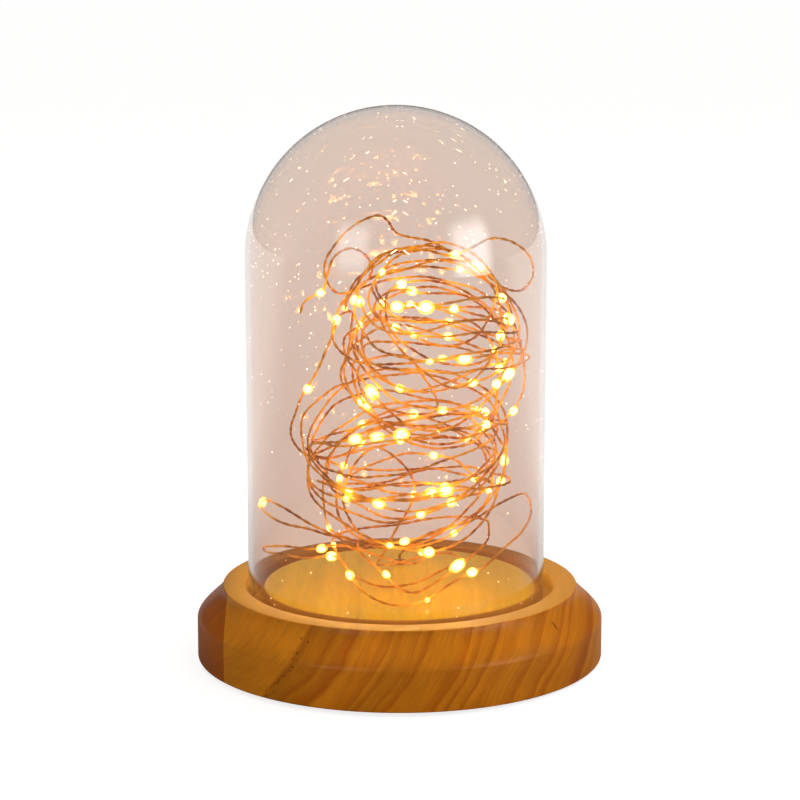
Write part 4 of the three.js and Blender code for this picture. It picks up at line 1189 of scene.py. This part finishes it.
class LAMP_OT_cells(bpy.types.Operator):
    """Puts the cells, their springs and their contacts in the box"""
    bl_idname = "lamp.cells"
    bl_label = "Cells"

    def execute(self, context):
        settings = context.scene.bell_lamp.power
        steel, jacket = nickel_plated_steel(), cell_jacket()
        for spring in cad_nodes("cell_spring"):
            out = self.spring(settings, spring, steel)
            self.cell(settings, spring.replace("_spring", ""), -out, jacket)
        for node in cad_nodes("contact"):
            dress(node, steel, settings.edge / 3)
        return {"FINISHED"}

    def spring(self, settings, node, steel):
        """Winds a spring, wide at its contact. Gives 1 if that is the back end, or -1."""
        low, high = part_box(node)
        middle = (low + high) / 2
        out = 1 if middle.y > 0 else -1
        half = settings.spring_wire / 2
        wide, narrow = (high.x - low.x) / 2 - half, settings.spring_narrow / 2 - half
        steps = SPRING_STEPS * settings.spring_turns
        line = []
        for i in range(steps + 1):
            share = i / steps
            angle = FULL_TURN * settings.spring_turns * share
            radius = wide + (narrow - wide) * share
            depth = out * ((high.y - low.y) / 2 - half) * (1 - 2 * share)
            line.append(middle + Vector((radius * math.cos(angle), depth, radius * math.sin(angle))))
        made = tubes("shown_" + node, [line], settings.spring_wire, steel, sides=2)
        settle(made, "base", [node])
        return out

    def cell(self, settings, node, nub, jacket):
        """Turns a cell with its nub to the back or to the front"""
        low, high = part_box(node)
        radius, length, edge = (high.x - low.x) / 2, high.y - low.y, settings.cell_edge
        shoulder, tip, soft = length - settings.nub_height, settings.nub_width / 2, settings.nub_height / 3
        profile = [
            (0, 0), *arc((radius - edge, edge), edge, -90, 0),
            *arc((radius - edge, shoulder - edge), edge, 0, 90),
            (tip, shoulder), *arc((tip - soft, length - soft), soft, 0, 90, NUB_STEPS), (0, length),
        ]
        bm = turned(profile, SMALL_STEPS)
        along = bm.verts.layers.float.new("along")
        for vert in bm.verts:
            vert[along] = vert.co.z / length
        foot = Vector(((low.x + high.x) / 2, low.y if nub > 0 else high.y, (low.z + high.z) / 2))
        lay = Matrix.Translation(foot) @ Matrix.Rotation(math.radians(-90 * nub), 4, "X")
        bmesh.ops.transform(bm, matrix=lay, verts=bm.verts)
        settle(object_from(bm, "shown_" + node, jacket), "base", [node])


class LAMP_OT_circuit(bpy.types.Operator):
    """Fits the circuit board, its chip, the slide switch and the battery leads"""
    bl_idname = "lamp.circuit"
    bl_label = "Circuit"

    def execute(self, context):
        settings = context.scene.bell_lamp.power
        edge = settings.edge
        # white nylon: slightly waxy, easy to see against the black box
        nylon = fine_surface("white_nylon", ("#d8d3c8", "#e6e2d9"), 3, 0.2, (0.35, 0.5))
        plastic = moulded_abs()
        dress("circuit_board", solder_masked_board(), edge / 3)
        dress("driver_chip", plastic, edge / 2)
        dress("switch_body", plastic, edge / 2)
        dress("switch_slider", nylon, edge / 2)
        # soft PVC: an even colour with a low shine
        for node, slot, tones in (
            ("positive_lead", "red_lead", ("#8c1710", "#a3241a")),
            ("negative_lead", "black_lead", ("#121212", "#1c1c1c")),
        ):
            pvc = fine_surface(f"{slot}_pvc", tones, 5, 0.3, (0.32, 0.48))
            line = rounded(self.lead(settings, node), settings.lead_bend)
            settle(tubes("shown_" + node, [line], settings.lead_width, pvc, sides=3), "base", [node])
        return {"FINISHED"}

    def lead(self, settings, node):
        """A lead's corners: up from its contact, along the box, and down to the board"""
        radius = settings.lead_width / 2
        (low, high), (near, far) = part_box(node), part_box(node.replace("lead", "contact"))
        start_x, front, back = (near.x + far.x) / 2, low.y + radius, high.y - radius
        run_x = low.x + radius if start_x < 0 else start_x
        end_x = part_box("circuit_board")[0].x + settings.lead_width if start_x < 0 else high.x - radius
        top = high.z - radius
        corners = [
            (start_x, front, far.z), (start_x, front, top), (run_x, front, top), (run_x, back, top),
            (end_x, back, top), (end_x, back, low.z),
        ]
        return [Vector(c) for i, c in enumerate(corners) if i == 0 or c != corners[i - 1]]


class LAMP_PT_panel(bpy.types.Panel):
    """Lists the lamp's pieces and settings"""
    bl_idname = "LAMP_PT_panel"
    bl_label = "Bell Lamp"
    bl_space_type = "VIEW_3D"
    bl_region_type = "UI"
    bl_category = "Bell Lamp"

    def draw(self, context):
        for operator in OPERATORS:
            self.layout.operator(operator.bl_idname)
        for group in LampSettings.__annotations__:
            settings = getattr(context.scene.bell_lamp, group)
            self.layout.label(text=type(settings).__doc__)
            for name in type(settings).__annotations__:
                self.layout.prop(settings, name)


OPERATORS = [
    LAMP_OT_stage, LAMP_OT_light_string, LAMP_OT_wooden_base, LAMP_OT_glass_bell, LAMP_OT_felt_pads,
    LAMP_OT_grommet, LAMP_OT_battery_box, LAMP_OT_cells, LAMP_OT_circuit,
]
CLASSES = [
    StageSettings, LightStringSettings, BellSettings, BaseSettings, PowerSettings, LampSettings,
    *OPERATORS, LAMP_PT_panel,
]


def register():
    """Registers the classes and the lamp's settings."""
    for each in CLASSES:
        bpy.utils.register_class(each)
    bpy.types.Scene.bell_lamp = PointerProperty(type=LampSettings)


def unregister():
    """Takes the settings and the classes away again."""
    del bpy.types.Scene.bell_lamp
    for each in reversed(CLASSES):
        bpy.utils.unregister_class(each)


def main():
    """Makes the whole lamp."""
    register()
    bpy.ops.lamp.stage()
    bpy.ops.lamp.light_string()
    bpy.ops.lamp.wooden_base()
    bpy.ops.lamp.glass_bell()
    bpy.ops.lamp.felt_pads()
    bpy.ops.lamp.grommet()
    bpy.ops.lamp.battery_box()
    bpy.ops.lamp.cells()
    bpy.ops.lamp.circuit()


if __name__ == "__main__":
    main()
